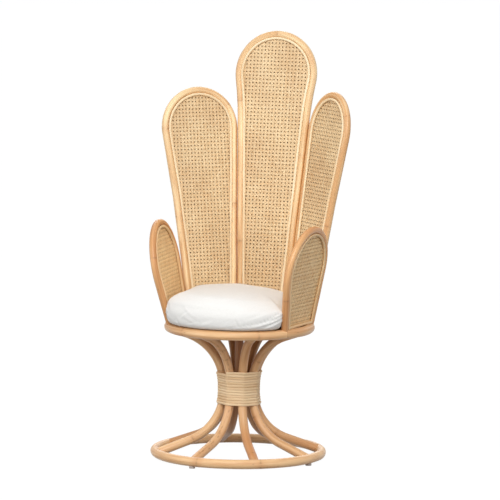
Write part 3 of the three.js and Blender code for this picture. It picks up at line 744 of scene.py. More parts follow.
OUTER_EASE = 0.0016
INNER_EASE = 0.0008
STRIP_CORNERS = (
    (-1, -1, 180, OUTER_EASE), (1, -1, 270, INNER_EASE), (1, 1, 0, INNER_EASE), (-1, 1, 90, OUTER_EASE))
strip_edge = []
for corner_x, corner_y, start, ease in STRIP_CORNERS:
    middle = (corner_x * (STRIP_THICKNESS / 2 - ease), corner_y * (STRIP_HEIGHT / 2 - ease))
    strip_edge += bend_points(
        middle, ease, math.radians(start), math.radians(start + 90), math.radians(45))
strip_outline = flat_profile("strip_outline", strip_edge)

chance = random.Random(7)
wrap_points = []
wrap_tilts = []
stops = round(WRAP_TURNS * POLE_COUNT)
pitch = STRIP_HEIGHT + TURN_GAP
proud = [chance.uniform(-0.0003, 0.0003) for _ in range(stops + POLE_COUNT)]
for stop in range(stops + 1):
    for share in np.linspace(-0.5, 0.5, 7):
        if not 0 <= stop + share <= stops:
            continue
        along = WRAP_RISE + (stop + share) * pitch / POLE_COUNT - WRAP_TURNS * pitch / 2
        radius, height, flare = waist_profile(along)
        facing = pole_angle(stop + share)
        outward = Vector((math.sin(facing), math.cos(facing), 0)) * math.cos(flare)
        outward.z = -math.sin(flare)
        centre = around_axis(pole_angle(stop), radius, height)
        wrap_points.append(centre + outward * (wrap_stand_off + proud[stop]))
        wrap_tilts.append(flare)
wrap_points = np.array([tuple(point) for point in wrap_points])
wrap_run = distances(wrap_points)
wrap_nodes = np.cumsum([chance.uniform(0.25, 0.5) for _ in range(20)])
wrap_tone = [chance.uniform(-0.2, 0.2) for _ in range(21)]
wrap = swept("wound_strip", [{
    "points": wrap_points,
    "tilt": np.array(wrap_tilts),
    "along": wrap_run,
    "tint": np.array([wrap_tone[int(np.searchsorted(wrap_nodes, at))] for at in wrap_run]),
}], profile=strip_outline, upright=True)
finish_piece(wrap, wound_peel, "wrap", "waist_wrap")
print("the strip is", round(float(wrap_run[-1]), 2), "m long")

# %% [markdown]
# ## The petals
# Each petal is one stick bent to a tall arch: two legs that follow the seams, a hollow neck where the
# neighbour ends, and a round head. It leans back on the seat ring. The arch is drawn flat, as a maker
# draws it on the bench, and the same drawing with an inset gives the beads and the edge of the cane.

# %% Draw a petal's arch
side_shape = SHAPES["side"]
side_tilt = side_shape["tilt"]
side_reach = (side_shape["round"] - side_shape["height"] * math.sin(side_tilt)) / math.cos(side_tilt)
side_shift = side_reach - side_shape["half_width"]
centre_neck = side_shape["height"] + CENTRE_NECK_RISE
side_neck = SHAPES["arm"]["height"]
PETALS = {"petal_centre": dict(SHAPES["centre"], angle=0.0, shift=0.0, free=0, neck_from=centre_neck)}
for hand, word in ((-1, "left"), (1, "right")):
    PETALS[f"petal_{word}"] = dict(
        side_shape, angle=hand * side_angle, shift=hand * side_shift, free=0, neck_from=side_neck)
    PETALS[f"arm_{word}"] = dict(
        SHAPES["arm"], angle=hand * arm_angle, shift=hand * ARM_HEAD_SHIFT, free=hand, neck_from=0.0)


def arch_edge(petal, hand):
    """How one leg leaves its foot and joins the head: its normal, reach, swing and neck radius."""
    tilt, round_, shift = petal["tilt"], petal["round"], hand * petal["shift"]
    foot_x, foot_y = petal["half_width"] - shift, -petal["height"]
    reach = foot_x * math.cos(tilt) - foot_y * math.sin(tilt)
    if hand == petal["free"] or round_ - reach < 1e-7:
        normal = math.atan2(foot_y, foot_x) + math.acos(round_ / math.hypot(foot_x, foot_y))
        return dict(shift=shift, normal=normal, reach=round_, swing=0.0, neck=0.0)
    drop = -foot_x * math.sin(tilt) - foot_y * math.cos(tilt) - petal["neck_from"] / math.cos(tilt)
    neck = (reach ** 2 + drop ** 2 - round_ ** 2) / (2 * (round_ - reach))
    bend = math.acos((reach + neck) / (round_ + neck))
    return dict(shift=shift, normal=-tilt, reach=reach, swing=bend, neck=neck)


def arch(petal, inset, start):
    """The arch as flat points from the right foot over the head to the left one, moved in by inset."""
    right, left = arch_edge(petal, 1), arch_edge(petal, -1)
    head = (petal["shift"], petal["height"])

    def foot(edge):
        run = (start - head[1]) * math.sin(edge["normal"])
        return edge["shift"] + (edge["reach"] - inset - run) / math.cos(edge["normal"])

    def neck_middle(edge, hand):
        turn = edge["normal"] - edge["swing"]
        length = petal["round"] + edge["neck"]
        return head[0] + hand * length * math.cos(turn), head[1] + length * math.sin(turn)

    points = [(foot(right), start)]
    if right["swing"] > 0:
        points += bend_points(
            neck_middle(right, 1), right["neck"] + inset, right["normal"] + math.pi,
            right["normal"] - right["swing"] + math.pi)
    points += bend_points(
        head, petal["round"] - inset, right["normal"] - right["swing"],
        math.pi - left["normal"] + left["swing"])
    if left["swing"] > 0:
        points += bend_points(
            neck_middle(left, -1), left["neck"] + inset, left["swing"] - left["normal"], -left["normal"])
    points.append((-foot(left), start))
    return points


def petal_frame(petal):
    """Turns the flat drawing into its place: x along the ring, y up the lean, z towards the sitter."""
    out = Vector((math.sin(petal["angle"]), math.cos(petal["angle"]), 0))
    along = Vector((math.cos(petal["angle"]), -math.sin(petal["angle"]), 0))
    rise = Vector((0, 0, 1))
    up = out * math.sin(petal["lean"]) + rise * math.cos(petal["lean"])
    inward = rise * math.sin(petal["lean"]) - out * math.cos(petal["lean"])
    start = AXIS + out * petal["foot_radius"] + rise * (SEAT_RING_HEIGHT + FOOT_RISE)
    return Matrix.Translation(start) @ Matrix((along, up, inward)).transposed().to_4x4()


PETAL_TONES = dict(petal_centre=0.18, petal_left=-0.32, arm_left=0.0, petal_right=0.8, arm_right=0.1)
PETAL_NODES = dict(
    petal_centre=(0.145, 0.545, 1.025, 1.33, 1.80), petal_left=(0.375, 0.71, 1.03, 1.325),
    petal_right=(0.33, 0.70, 1.02, 1.33), arm_left=(0.30, 0.60), arm_right=(0.12, 0.47, 0.74))
PETAL_STAINS = dict(
    petal_centre=((0.875, 0.030, 1.4), (1.24, 0.040, 0.6)),
    petal_right=((0.62, 0.08, 1.0), (0.86, 0.10, 0.8)),
    arm_left=((0.40, 0.10, 0.6),), arm_right=((0.05, 0.07, 1.2), (0.44, 0.10, 0.8)))
petal_poles = {}
for seed, (name, petal) in enumerate(PETALS.items()):
    place = petal_frame(petal)
    route = [place @ Vector((x, y, 0)) for x, y in arch(petal, 0, 0)]
    stains = PETAL_STAINS.get(name, ())
    made = stick(route, 70 + seed, tone=PETAL_TONES[name], nodes=PETAL_NODES[name], stains=stains)
    pole = swept(f"{name}_bent_pole", [made], thickness=PETAL_POLE_THICKNESS, sides=20)
    petal_poles[name] = finish_piece(
        pole, arm_pole if petal["free"] else petal_pole, "petal_pole", f"{name}_frame")

# %% [markdown]
# Where two petals stand side by side, the groove between their poles is darkened as painted shade, a
# dark line where shade falls. It could be painted by hand, but it follows from the shapes: each vertex
# measures how near the neighbouring pole is and keeps the answer as the groove attribute, which the
# skin group reads.

# %% Darken the grooves
GROOVE_REACH = 0.005
FAN = ("arm_left", "petal_left", "petal_centre", "petal_right", "arm_right")


def surface_of(piece):
    mesh = piece.data
    corners = [vertex.co for vertex in mesh.vertices]
    return BVHTree.FromPolygons(corners, [tuple(face.vertices) for face in mesh.polygons])


pole_surfaces = {name: surface_of(petal_poles[name]) for name in FAN}
for place, name in enumerate(FAN):
    mesh = petal_poles[name].data
    near = np.full(len(mesh.vertices), FAR_AWAY)
    for neighbour in FAN[max(0, place - 1):place] + FAN[place + 1:place + 2]:
        gaps = [pole_surfaces[neighbour].find_nearest(vertex.co)[3] for vertex in mesh.vertices]
        near = np.minimum(near, gaps)
    # The groove mask is painted shade, darkest where the poles touch.
    write_attribute(mesh, "groove", hump(near, GROOVE_REACH))
    print(name, "comes as near as", round(float(near.min()) * 1000, 2), "mm to its neighbour")

# %% [markdown]
# A thin bead of peeled core is pinned round each panel, inside the pole, on both faces. It hides the
# ends of the cane. The arch and the sill are two lengths that meet at the foot. The bead is a little
# flattened, so it is swept in the flat drawing, where up is the panel's face, and then set in its place.

# %% The beads
BEAD_THICKNESS = 0.0075
CANE_OFFSET = 0.003
CANE_THICKNESS = 0.0018
bead_offset = CANE_OFFSET + CANE_THICKNESS / 2 + FIT_GAP + BEAD_THICKNESS / 2
bead_inset = math.sqrt((PETAL_POLE_THICKNESS / 2 + BEAD_THICKNESS / 2 + FIT_GAP) ** 2 - bead_offset ** 2)


def sill_height(petal, offset):
    """How high up the lean a bead lies on the seat ring, on one face of the panel."""
    rise = RING_THICKNESS / 2 + FIT_GAP + BEAD_THICKNESS / 2 - FOOT_RISE
    return (rise - offset * math.sin(petal["lean"])) / math.cos(petal["lean"])


BEAD_WIDTH = 0.0086
BEAD_SQUARENESS = 2.6
BEAD_STEP = 0.02
NO_NODES = (9, 9.1)
bead_edge = []
for turn in np.linspace(0, 2 * math.pi, 14, endpoint=False):
    across, over = math.cos(turn), math.sin(turn)
    bead_edge.append((
        math.copysign(abs(across) ** (2 / BEAD_SQUARENESS), across) * BEAD_WIDTH / 2,
        math.copysign(abs(over) ** (2 / BEAD_SQUARENESS), over) * BEAD_THICKNESS / 2))
bead_outline = flat_profile("bead_outline", bead_edge)

FACES = {"inner": 1, "outer": -1}
for seed, (name, petal) in enumerate(PETALS.items()):
    for face, hand in FACES.items():
        height = sill_height(petal, hand * bead_offset)
        flat = arch(petal, bead_inset + (BEAD_WIDTH - BEAD_THICKNESS) / 2, height - BEAD_THICKNESS / 2)
        sill = [(flat[0][0], height), (flat[-1][0], height)]
        runs = []
        for line in (flat, sill):
            route = [(x, y, 0) for x, y in line]
            runs.append(stick(route, 90 + 4 * seed + hand, BEAD_STEP, NO_NODES))
        bead = swept(f"{name}_core_bead_{face}", runs, profile=bead_outline, upright=True)
        bead.data.transform(petal_frame(petal) @ Matrix.Translation((0, 0, hand * bead_offset)))
        finish_piece(bead, arm_bead if petal["free"] else core_bead, "bead", f"{name}_bead_{face}")

# %% [markdown]
# ## The cane
# The webbing is woven from six sets of flat strands: pairs of uprights, pairs of levels, and two sets
# of diagonals that cross between the pairs and leave an eight-sided hole in each square. One upright
# lies under everything and one level lies on it; the second upright goes on top, and the second level
# is woven over one upright and under the other, which locks the grid. The diagonals are woven last.
#
# A picture of a weave would be flat, and a bought cell that is repeated would be cut off at the edge.
# So every strand is drawn by itself, as long as the panel is wide there, with a bend at each crossing,
# and its ends lie under the bead. Straight strands cost only a few faces, and a bend costs five.

# %% Weave one panel
CANE_PITCH = 0.0123
STRAND_HALF_SPREAD = 0.00185
STRAND_WIDTH = 0.0036
DIAGONAL_WIDTH = 0.0035
STRAND_DEPTH = 0.00045
LAYER = 0.00028
DIAGONAL_LAYERS = 2.2
STRAND_WOBBLE = 0.00012
STRAND_TINT = 0.6
SHORTEST_STRAND = 0.004
BEND_FROM_END = 0.001
CANE_INSET = 0.0130


def strand_outline(name, width):
    half = width / 2
    return flat_profile(name, [
        (-half, -STRAND_DEPTH / 2), (half, -STRAND_DEPTH / 2), (half * 0.82, STRAND_DEPTH * 0.3),
        (0, STRAND_DEPTH / 2), (-half * 0.82, STRAND_DEPTH * 0.3)])


square_strand = strand_outline("square_strand", STRAND_WIDTH)
diagonal_strand = strand_outline("diagonal_strand", DIAGONAL_WIDTH)


def spans(outline, origin, direction):
    """Where a straight line runs inside a closed outline: pairs of distances from its origin."""
    across = np.array([-direction[1], direction[0]])
    points = np.array(outline)
    off = (points - origin) @ across
    run = (points - origin) @ np.array(direction)
    nxt_off, nxt_run = np.roll(off, -1), np.roll(run, -1)
    cut = (off < 0) != (nxt_off < 0)
    hits = np.sort((run + (nxt_run - run) * off / np.where(cut, off - nxt_off, 1))[cut])
    return [(a, b) for a, b in zip(hits[::2], hits[1::2]) if b - a > SHORTEST_STRAND]


def strand(origin, direction, start, end, bends, chance):
    """One strand; bends are (distance, height) at its crossings, or one height if it is straight."""
    if isinstance(bends, float):
        run = np.array([start, end])
        lift = np.array([bends, bends])
    else:
        places = np.array(bends)
        inside = (places[:, 0] > start + BEND_FROM_END) & (places[:, 0] < end - BEND_FROM_END)
        run = np.concatenate([[start], places[inside, 0], [end]])
        lift = np.interp(run, places[:, 0], places[:, 1])
    points = np.column_stack([origin[0] + direction[0] * run, origin[1] + direction[1] * run, lift])
    return {
        "points": points,
        "along": run + chance.uniform(0, 40),
        "tint": chance.uniform(-STRAND_TINT, STRAND_TINT),
    }


def pitch_lines(low, high, shift):
    """The numbers of the grid lines that cover a span, with one to spare at each end."""
    return range(math.floor((low - shift) / CANE_PITCH) - 1, math.ceil((high - shift) / CANE_PITCH) + 2)


def weave(outline, shift, seed):
    """Runs for all the strands of a panel: the square ones, and the diagonal ones."""
    chance = random.Random(seed)
    low, high = np.min(outline, axis=0), np.max(outline, axis=0)
    columns = pitch_lines(low[0], high[0], shift[0])
    rows = pitch_lines(low[1], high[1], shift[1])
    square, diagonal = [], []

    def lay(store, origin, direction, bends):
        for start, end in spans(outline, np.array(origin), direction):
            store.append(strand(origin, direction, start, end, bends, chance))

    def wobble():
        return chance.uniform(-STRAND_WOBBLE, STRAND_WOBBLE)

    for column in columns:
        x = shift[0] + column * CANE_PITCH
        lay(square, (x - STRAND_HALF_SPREAD + wobble(), 0), (0, 1), -LAYER)
        lay(square, (x + STRAND_HALF_SPREAD + wobble(), 0), (0, 1), LAYER)
    woven = []
    for column in columns:
        x = shift[0] + column * CANE_PITCH
        woven += [(x - STRAND_HALF_SPREAD, -2 * LAYER), (x + STRAND_HALF_SPREAD, 2 * LAYER)]
    for row in rows:
        y = shift[1] + row * CANE_PITCH
        lay(square, (0, y - STRAND_HALF_SPREAD + wobble()), (1, 0), 0.0)
        lay(square, (0, y + STRAND_HALF_SPREAD + wobble()), (1, 0), woven)
    slant = math.sqrt(0.5)
    steps = max(len(columns), len(rows)) + len(rows) + len(columns)
    for hand in (1, -1):
        for step in range(-steps, steps):
            origin = (shift[0] + (step + 0.5) * CANE_PITCH + wobble(), shift[1])
            bends = []
            for half in range(-2 * steps, 2 * steps):
                over = (half % 2 == 1) if hand == 1 else (half % 2 == 0)
                bends.append((half * CANE_PITCH * slant, (1 if over else -1) * DIAGONAL_LAYERS * LAYER))
            lay(diagonal, origin, (hand * slant, slant), bends)
    return square, diagonal


def cane_panel(name, petal, face, seed):
    hand = FACES[face]
    height = sill_height(petal, 0)
    outline = [(hand * x, y) for x, y in arch(petal, CANE_INSET, height)]
    half_pitch = 0 if hand == 1 else CANE_PITCH / 2
    square, diagonal = weave(outline, (half_pitch, height + half_pitch), seed)
    panel = swept(f"{name}_woven_cane_{face}", square, profile=square_strand, upright=True)
    slanted = swept("slanted_strands", diagonal, profile=diagonal_strand, upright=True)
    only(panel)
    slanted.select_set(True)
    bpy.ops.object.join()
    lift = Matrix.Translation((0, 0, CANE_OFFSET))
    turn = Matrix.Identity(4) if hand == 1 else Matrix.Rotation(math.pi, 4, "Y")
    panel.data.transform(petal_frame(petal) @ turn @ lift)
    return panel


for seed, (name, petal) in enumerate(PETALS.items()):
    strands = arm_cane_strand if petal["free"] else cane_strand
    for face in FACES:
        panel = cane_panel(name, petal, face, 200 + 10 * seed + FACES[face])
        finish_piece(panel, strands, "cane", f"{name}_cane_{face}")
for outline in (strip_outline, bead_outline, square_strand, diagonal_strand):
    bpy.data.objects.remove(outline)

# %% [markdown]
# ## Board, core and glides
# A round plywood board carries the cushion. It is seen from below, between the poles, and its CAD form
# is right, so it only gets a veneer: long grain with fine pores, on Object coordinates.

# %% Plywood for the board and the core
plywood, tree, shader = new_finish("plain_plywood")
place = add_node(tree, "ShaderNodeTexCoord").outputs["Object"]
figure = ramp(tree, stretched_noise(tree, place, (9, 70, 70), 4.0, 0.6), 0.3, 0.7)
pores = ramp(tree, stretched_noise(tree, place, (60, 1500, 1500), 2.0), 0.45, 0.75)
veneer = colour_mix(tree, figure, srgb(206, 168, 118), srgb(170, 126, 80))
veneer = colour_mix(tree, times(tree, pores, 0.35), veneer, srgb(120, 84, 50))
join(tree, veneer, shader.inputs["Base Color"])
join(tree, plus(tree, times(tree, figure, 0.15), 0.55), shader.inputs["Roughness"])
raise_relief(tree, shader, pores, 0.25, 0.0003)
for node in ("seat_board", "waist_core"):
    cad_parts[node].data.materials.clear()
    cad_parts[node].data.materials.append(plywood)
print("plywood on the board and the core")

# %% [markdown]
# Four small glides keep the ring off the floor. Each is a moulded disc with a rounded rim and a nail in
# a shallow dish below. It could be turned from an outline, but a cylinder is nearer to it: its underside
# is inset and sunk step by step, the rim is bevelled, and the glide is copied to the other three places.

# %% The glides
glide_grey, tree, shader = new_finish("moulded_grey")
place = add_node(tree, "ShaderNodeTexCoord").outputs["Object"]
scuff = ramp(tree, stretched_noise(tree, place, (420, 420, 420), 3.0, 0.6), 0.35, 0.7)
grey = colour_mix(tree, scuff, srgb(196, 183, 176), srgb(160, 146, 140))
join(tree, grey, shader.inputs["Base Color"])
join(tree, plus(tree, times(tree, scuff, 0.2), 0.5), shader.inputs["Roughness"])
raise_relief(tree, shader, scuff, 0.2, 0.0002)


def pick_faces(piece, test):
    """Selects, in edit mode, the faces that pass a test of their centre and normal."""
    bpy.ops.object.mode_set(mode="EDIT")
    bpy.ops.mesh.select_mode(type="FACE")
    bpy.ops.mesh.select_all(action="DESELECT")
    bpy.ops.object.mode_set(mode="OBJECT")
    for face in piece.data.polygons:
        face.select = test(face.center, face.normal)
    bpy.ops.object.mode_set(mode="EDIT")


SOLE_WIDTH = 0.0042
DISH_SLOPE, DISH_DEPTH = 0.0008, 0.0012
DISH_WIDTH = 0.0016
NAIL_SLOPE, NAIL_RISE = 0.0003, 0.0006
RIM_ROUND = 0.0010
glide_low, glide_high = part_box("foot_glide_1")
first_middle = (glide_low + glide_high) / 2
glide_size = glide_high - glide_low
bpy.ops.object.select_all(action="DESELECT")
bpy.ops.mesh.primitive_cylinder_add(
    vertices=40, radius=glide_size.x / 2, depth=glide_size.z, location=first_middle)
first_glide = bpy.context.object
first_glide.name = "moulded_glide_1"
bpy.ops.object.transform_apply(location=True, rotation=True, scale=True)
pick_faces(first_glide, lambda centre, normal: normal.z < -0.9)
bpy.ops.mesh.inset(thickness=SOLE_WIDTH, depth=0)
bpy.ops.mesh.inset(thickness=DISH_SLOPE, depth=-DISH_DEPTH)
bpy.ops.mesh.inset(thickness=DISH_WIDTH, depth=0)
bpy.ops.mesh.inset(thickness=NAIL_SLOPE, depth=NAIL_RISE)
bpy.ops.object.mode_set(mode="OBJECT")
rim = first_glide.modifiers.new("rim", "BEVEL")
rim.width = RIM_ROUND
rim.segments = 3
rim.limit_method = "ANGLE"
rim.angle_limit = math.radians(60)
bpy.ops.object.modifier_apply(modifier=rim.name)
bpy.ops.object.shade_smooth_by_angle(angle=math.radians(40))
glides = [first_glide]
for index in range(2, 5):
    low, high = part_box(f"foot_glide_{index}")
    only(first_glide)
    bpy.ops.object.duplicate()
    copy = bpy.context.object
    copy.name = f"moulded_glide_{index}"
    copy.location = (low + high) / 2 - first_middle
    bpy.ops.object.transform_apply(location=True, rotation=True, scale=True)
    glides.append(copy)
for index, glide in enumerate(glides, 1):
    glide.data.name = glide.name
    finish_piece(glide, glide_grey, "glide", f"foot_glide_{index}")

# %% [markdown]
# ## The cushion
# The cushion is a loose round pad in a plain white cotton cover. It fills the seat between the petals
# and bulges out past the arms' front legs at the open front. A subdivided box would give a pillow with
# four corners, so its CAD form is the start: a copy is remeshed into even squares, its upper half is
# drawn to a soft dome that falls a little to the right, and its sides are pushed out to the petals.
# Smoothing after each push takes the creases out. The pad is then made a little smaller and blown up as
# cloth, so that the cover is drawn tight. How far a point may move is capped, and the underside stays on
# the board and the ring.

# %% Blow up the cushion
VOXEL = 0.005
START_SMALLER = 0.004
MOST_SWELL = 0.006
BULGE = 0.003
BULGE_TURN = math.radians(48)
CROWN_HEIGHT = 0.564
WIDEST_HEIGHT = 0.493
CROWN_FALL = 0.07
FULLNESS_LEFT = 4.2
FULLNESS_RIGHT = 2.8
CUSHION_OVERHANG = 0.028
CUSHION_GAP = 0.002
CORNER_POWER = 40
LEG_TURN = math.radians(2.4)
PAST_LEG_TURN = math.radians(4)
PAST_LEG_SLACK = 0.07
LEAST_FACING = 0.05
SIDE_FROM = 0.8
FULLNESS_SPAN = 0.06
FALL_SPAN = 0.05
BULGE_WIDTH = math.radians(9)
BULGE_HEIGHT = 0.036
BULGE_FROM, BULGE_EASE = 0.15, 0.07
MOST_SIDE_SWELL = START_SMALLER + 0.0005
COVER_EASE = 0.0010
SIM_FRAMES = 20
SIDE_LEVELS = (0.4530, 0.4560, 0.4590, 0.4630, 0.4680, 0.4760, 0.4850, 0.4930, 0.5000, 0.5100, 0.5200)
SIDE_SHARES = (0.920, 0.940, 0.958, 0.974, 0.986, 0.994, 0.998, 1.000, 1.000, 0.990, 0.970)


def read_points(mesh):
    points = np.empty(len(mesh.vertices) * 3)
    mesh.vertices.foreach_get("co", points)
    return points.reshape(-1, 3)


def read_normals(mesh):
    normals = np.empty(len(mesh.vertices) * 3)
    mesh.vertices.foreach_get("normal", normals)
    return normals.reshape(-1, 3)


def write_points(mesh, points):
    mesh.vertices.foreach_set("co", points.ravel())
    mesh.update()


front_turn = math.pi - front_angle - LEG_TURN


def turn_and_reach(points):
    """Angle from the open front towards +X, and distance from the axis."""
    x, y = points[:, 0] - AXIS.x, points[:, 1] - AXIS.y
    return np.arctan2(x, -y), np.hypot(x, y)


def free_reach(turn, height):
    """How far the pad may reach each way: up to the petals' inner faces, or freely at the front."""
    total = np.full(len(turn), (SEAT_RING_RADIUS + CUSHION_OVERHANG) ** -CORNER_POWER)
    for petal in PETALS.values():
        rise = height - SEAT_RING_HEIGHT - FOOT_RISE
        face = petal["foot_radius"] + rise * math.tan(petal["lean"]) - CUSHION_GAP
        face = face - (bead_offset + BEAD_THICKNESS / 2) / math.cos(petal["lean"])
        if petal["free"]:
            past_leg = np.clip((front_turn - np.abs(turn)) / PAST_LEG_TURN, 0, 1)
            face = face * (1 + PAST_LEG_SLACK * past_leg)
        facing = np.cos(np.pi - turn - petal["angle"])
        limit = (face / np.maximum(facing, LEAST_FACING)) ** -CORNER_POWER
        total += np.where(facing > LEAST_FACING, limit, 0)
    return total ** (-1 / CORNER_POWER)


def fill_sides(points, inset):
    """Pushes the sides out to their full reach less an inset; it never pulls a point in."""
    turn, reach = turn_and_reach(points)
    height = points[:, 2]
    full = np.interp(height, SIDE_LEVELS, SIDE_SHARES) * free_reach(turn, height) - inset
    on_side = (height > SIDE_LEVELS[0]) & (height < SIDE_LEVELS[-1]) & (reach > SIDE_FROM * full)
    stretch = np.where(on_side, np.maximum(1, full / np.maximum(reach, 0.01)), 1)
    points[:, :2] = (points[:, :2] - AXIS.xy) * stretch[:, None] + AXIS.xy
    return points


def soften(piece, rounds):
    only(piece)
    even = piece.modifiers.new("even", "SMOOTH")
    even.factor = 0.5
    even.iterations = rounds
    bpy.ops.object.modifier_apply(modifier=even.name)


def round_crown(points):
    """Draws the upper half as one soft dome, fuller on the left; each point stays in its section."""
    turn, reach = turn_and_reach(points)
    full = free_reach(turn, points[:, 2])
    upper = points[:, 2] > WIDEST_HEIGHT
    to_the_right = (points - np.array(AXIS)) @ np.array(level)
    middle = (FULLNESS_LEFT + FULLNESS_RIGHT) / 2
    power = middle - (FULLNESS_LEFT - middle) * np.tanh(to_the_right / FULLNESS_SPAN)
    risen = np.maximum(points[:, 2] - WIDEST_HEIGHT, 0) / (cushion_high.z - WIDEST_HEIGHT)
    slope = np.arctan2(reach / full, risen)
    size = (np.sin(slope) ** power + np.cos(slope) ** power) ** (-1 / power)
    stretch = np.where(upper, size * np.sin(slope) * full / np.maximum(reach, 1e-6), 1)
    fall = CROWN_FALL * to_the_right * (0.5 + 0.5 * np.tanh(to_the_right / FALL_SPAN))
    top = WIDEST_HEIGHT + size * np.cos(slope) * (CROWN_HEIGHT - WIDEST_HEIGHT - fall)
    points[:, :2] = (points[:, :2] - AXIS.xy) * stretch[:, None] + AXIS.xy
    points[:, 2] = np.where(upper, top, points[:, 2])
    return points


def rest_on_seat(points):
    """Lifts what would sink into the board or the seat ring."""
    reach = turn_and_reach(points)[1]
    rim = RING_THICKNESS / 2 + FIT_GAP
    across = np.clip(rim ** 2 - (reach - SEAT_RING_RADIUS) ** 2, 0, None)
    ring_top = np.where(across > 0, SEAT_RING_HEIGHT + np.sqrt(across), 0) + FIT_GAP
    points[:, 2] = np.maximum(points[:, 2], np.maximum(ring_top, cushion_low.z))
    return points


cushion_low, cushion_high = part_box("seat_cushion")
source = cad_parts["seat_cushion"]
cushion = bpy.data.objects.new("round_cushion", source.data.copy())
bpy.context.scene.collection.objects.link(cushion)
only(cushion)
bpy.ops.object.mode_set(mode="EDIT")
bpy.ops.mesh.select_all(action="SELECT")
bpy.ops.mesh.remove_doubles(threshold=0.0001)
bpy.ops.mesh.normals_make_consistent(inside=False)
bpy.ops.object.mode_set(mode="OBJECT")
cushion.data.remesh_voxel_size = VOXEL
bpy.ops.object.voxel_remesh()
soften(cushion, 5)
write_points(cushion.data, fill_sides(round_crown(read_points(cushion.data)), 0.0))
soften(cushion, 6)
points = read_points(cushion.data) - START_SMALLER * read_normals(cushion.data)
turn, reach = turn_and_reach(points)
bulge = BULGE * hump(np.abs(turn) - BULGE_TURN, BULGE_WIDTH)
bulge *= hump(points[:, 2] - WIDEST_HEIGHT, BULGE_HEIGHT)
bulge *= np.clip((reach - BULGE_FROM) / BULGE_EASE, 0, 1)
points[:, 0] += bulge * np.sin(turn)
points[:, 1] -= bulge * np.cos(turn)
write_points(cushion.data, points)
before = read_points(cushion.data)
cloth = cushion.modifiers.new("cover", "CLOTH")
cloth.settings.quality = 6
cloth.settings.mass = 0.2
cloth.settings.tension_stiffness = 12
cloth.settings.compression_stiffness = 12
cloth.settings.bending_stiffness = 0.4
cloth.settings.use_pressure = True
cloth.settings.uniform_pressure_force = 4
cloth.settings.effector_weights.gravity = 0
scene = bpy.context.scene
for step in range(1, SIM_FRAMES + 1):
    scene.frame_set(step)
only(cushion)
bpy.ops.object.modifier_apply(modifier=cloth.name)
scene.frame_set(1)
moved = read_points(cushion.data) - before
length = np.linalg.norm(moved, axis=1, keepdims=True)
on_side = np.linalg.norm(moved[:, :2], axis=1, keepdims=True) > np.abs(moved[:, 2:])
most = np.where(on_side, MOST_SIDE_SWELL, MOST_SWELL)
write_points(cushion.data, before + moved * np.minimum(1, most / np.maximum(length, 1e-9)))
print("the cover moved by up to", round(float(length.max()) * 1000, 1), "mm before the cap")
write_points(cushion.data, fill_sides(read_points(cushion.data), COVER_EASE))
soften(cushion, 6)
finer = cushion.modifiers.new("finer", "SUBSURF")
finer.levels = finer.render_levels = 1
bpy.ops.object.modifier_apply(modifier=finer.name)
points = rest_on_seat(read_points(cushion.data))
write_points(cushion.data, points)
print("cushion from", points.min(0).round(4), "to", points.max(0).round(4))

# %% [markdown]
# Cotton on a pad that is pushed in between two arms makes folds. Most start beside the right arm and
# run down to the front edge. They could be sculpted, but a stroke can't be written down as a few numbers.
# So each fold is a soft groove with a ridge beside it, laid along a bent line on the cushion's side, and
# given as three places (degrees from the front, height), its depth and its width. Many shallow random
# ones keep the rest from looking blown from glass.

# %% Lay the folds
SIDE_REACH = 0.24
SMALL_FOLDS = 54
FOLD_MARGIN = 0.03
RIDGE_SHARE, RIDGE_OFFSET = 0.8, 1.3
FOLD_FROM, FOLD_EASE = 0.15, 0.04
UNDERSIDE_FREE, UNDERSIDE_EASE = 0.004, 0.008
FOLDS = [
    ((60, 0.532), (50, 0.510), (35, 0.484), 0.0022, 0.0050),
    ((62, 0.520), (48, 0.494), (28, 0.472), 0.0024, 0.0048),
    ((60, 0.508), (50, 0.488), (38, 0.468), 0.0022, 0.0042),
    ((52, 0.500), (36, 0.478), (18, 0.464), 0.0018, 0.0046),
    ((63, 0.535), (58, 0.512), (52, 0.480), 0.0022, 0.0042),
    ((40, 0.490), (22, 0.470), (4, 0.461), 0.0014, 0.0042),
    ((44, 0.525), (34, 0.508), (24, 0.494), 0.0012, 0.0050),
    ((56, 0.496), (46, 0.478), (36, 0.462), 0.0018, 0.0036),
    ((-30, 0.525), (-24, 0.506), (-14, 0.484), 0.0010, 0.0055),
    ((-64, 0.505), (-52, 0.480), (-36, 0.464), 0.0012, 0.0050),
]
chance = random.Random(5)
for _ in range(SMALL_FOLDS):
    start, top = chance.uniform(-180, 180), chance.uniform(0.470, 0.535)
    lean = chance.uniform(-15, 15)
    end = (start + lean, top - chance.uniform(0.014, 0.032))
    middle = (start + lean * 0.6, top - 0.010)
    depth = chance.uniform(0.0005, 0.0014)
    FOLDS.append(((start, top), middle, end, depth, chance.uniform(0.004, 0.007)))

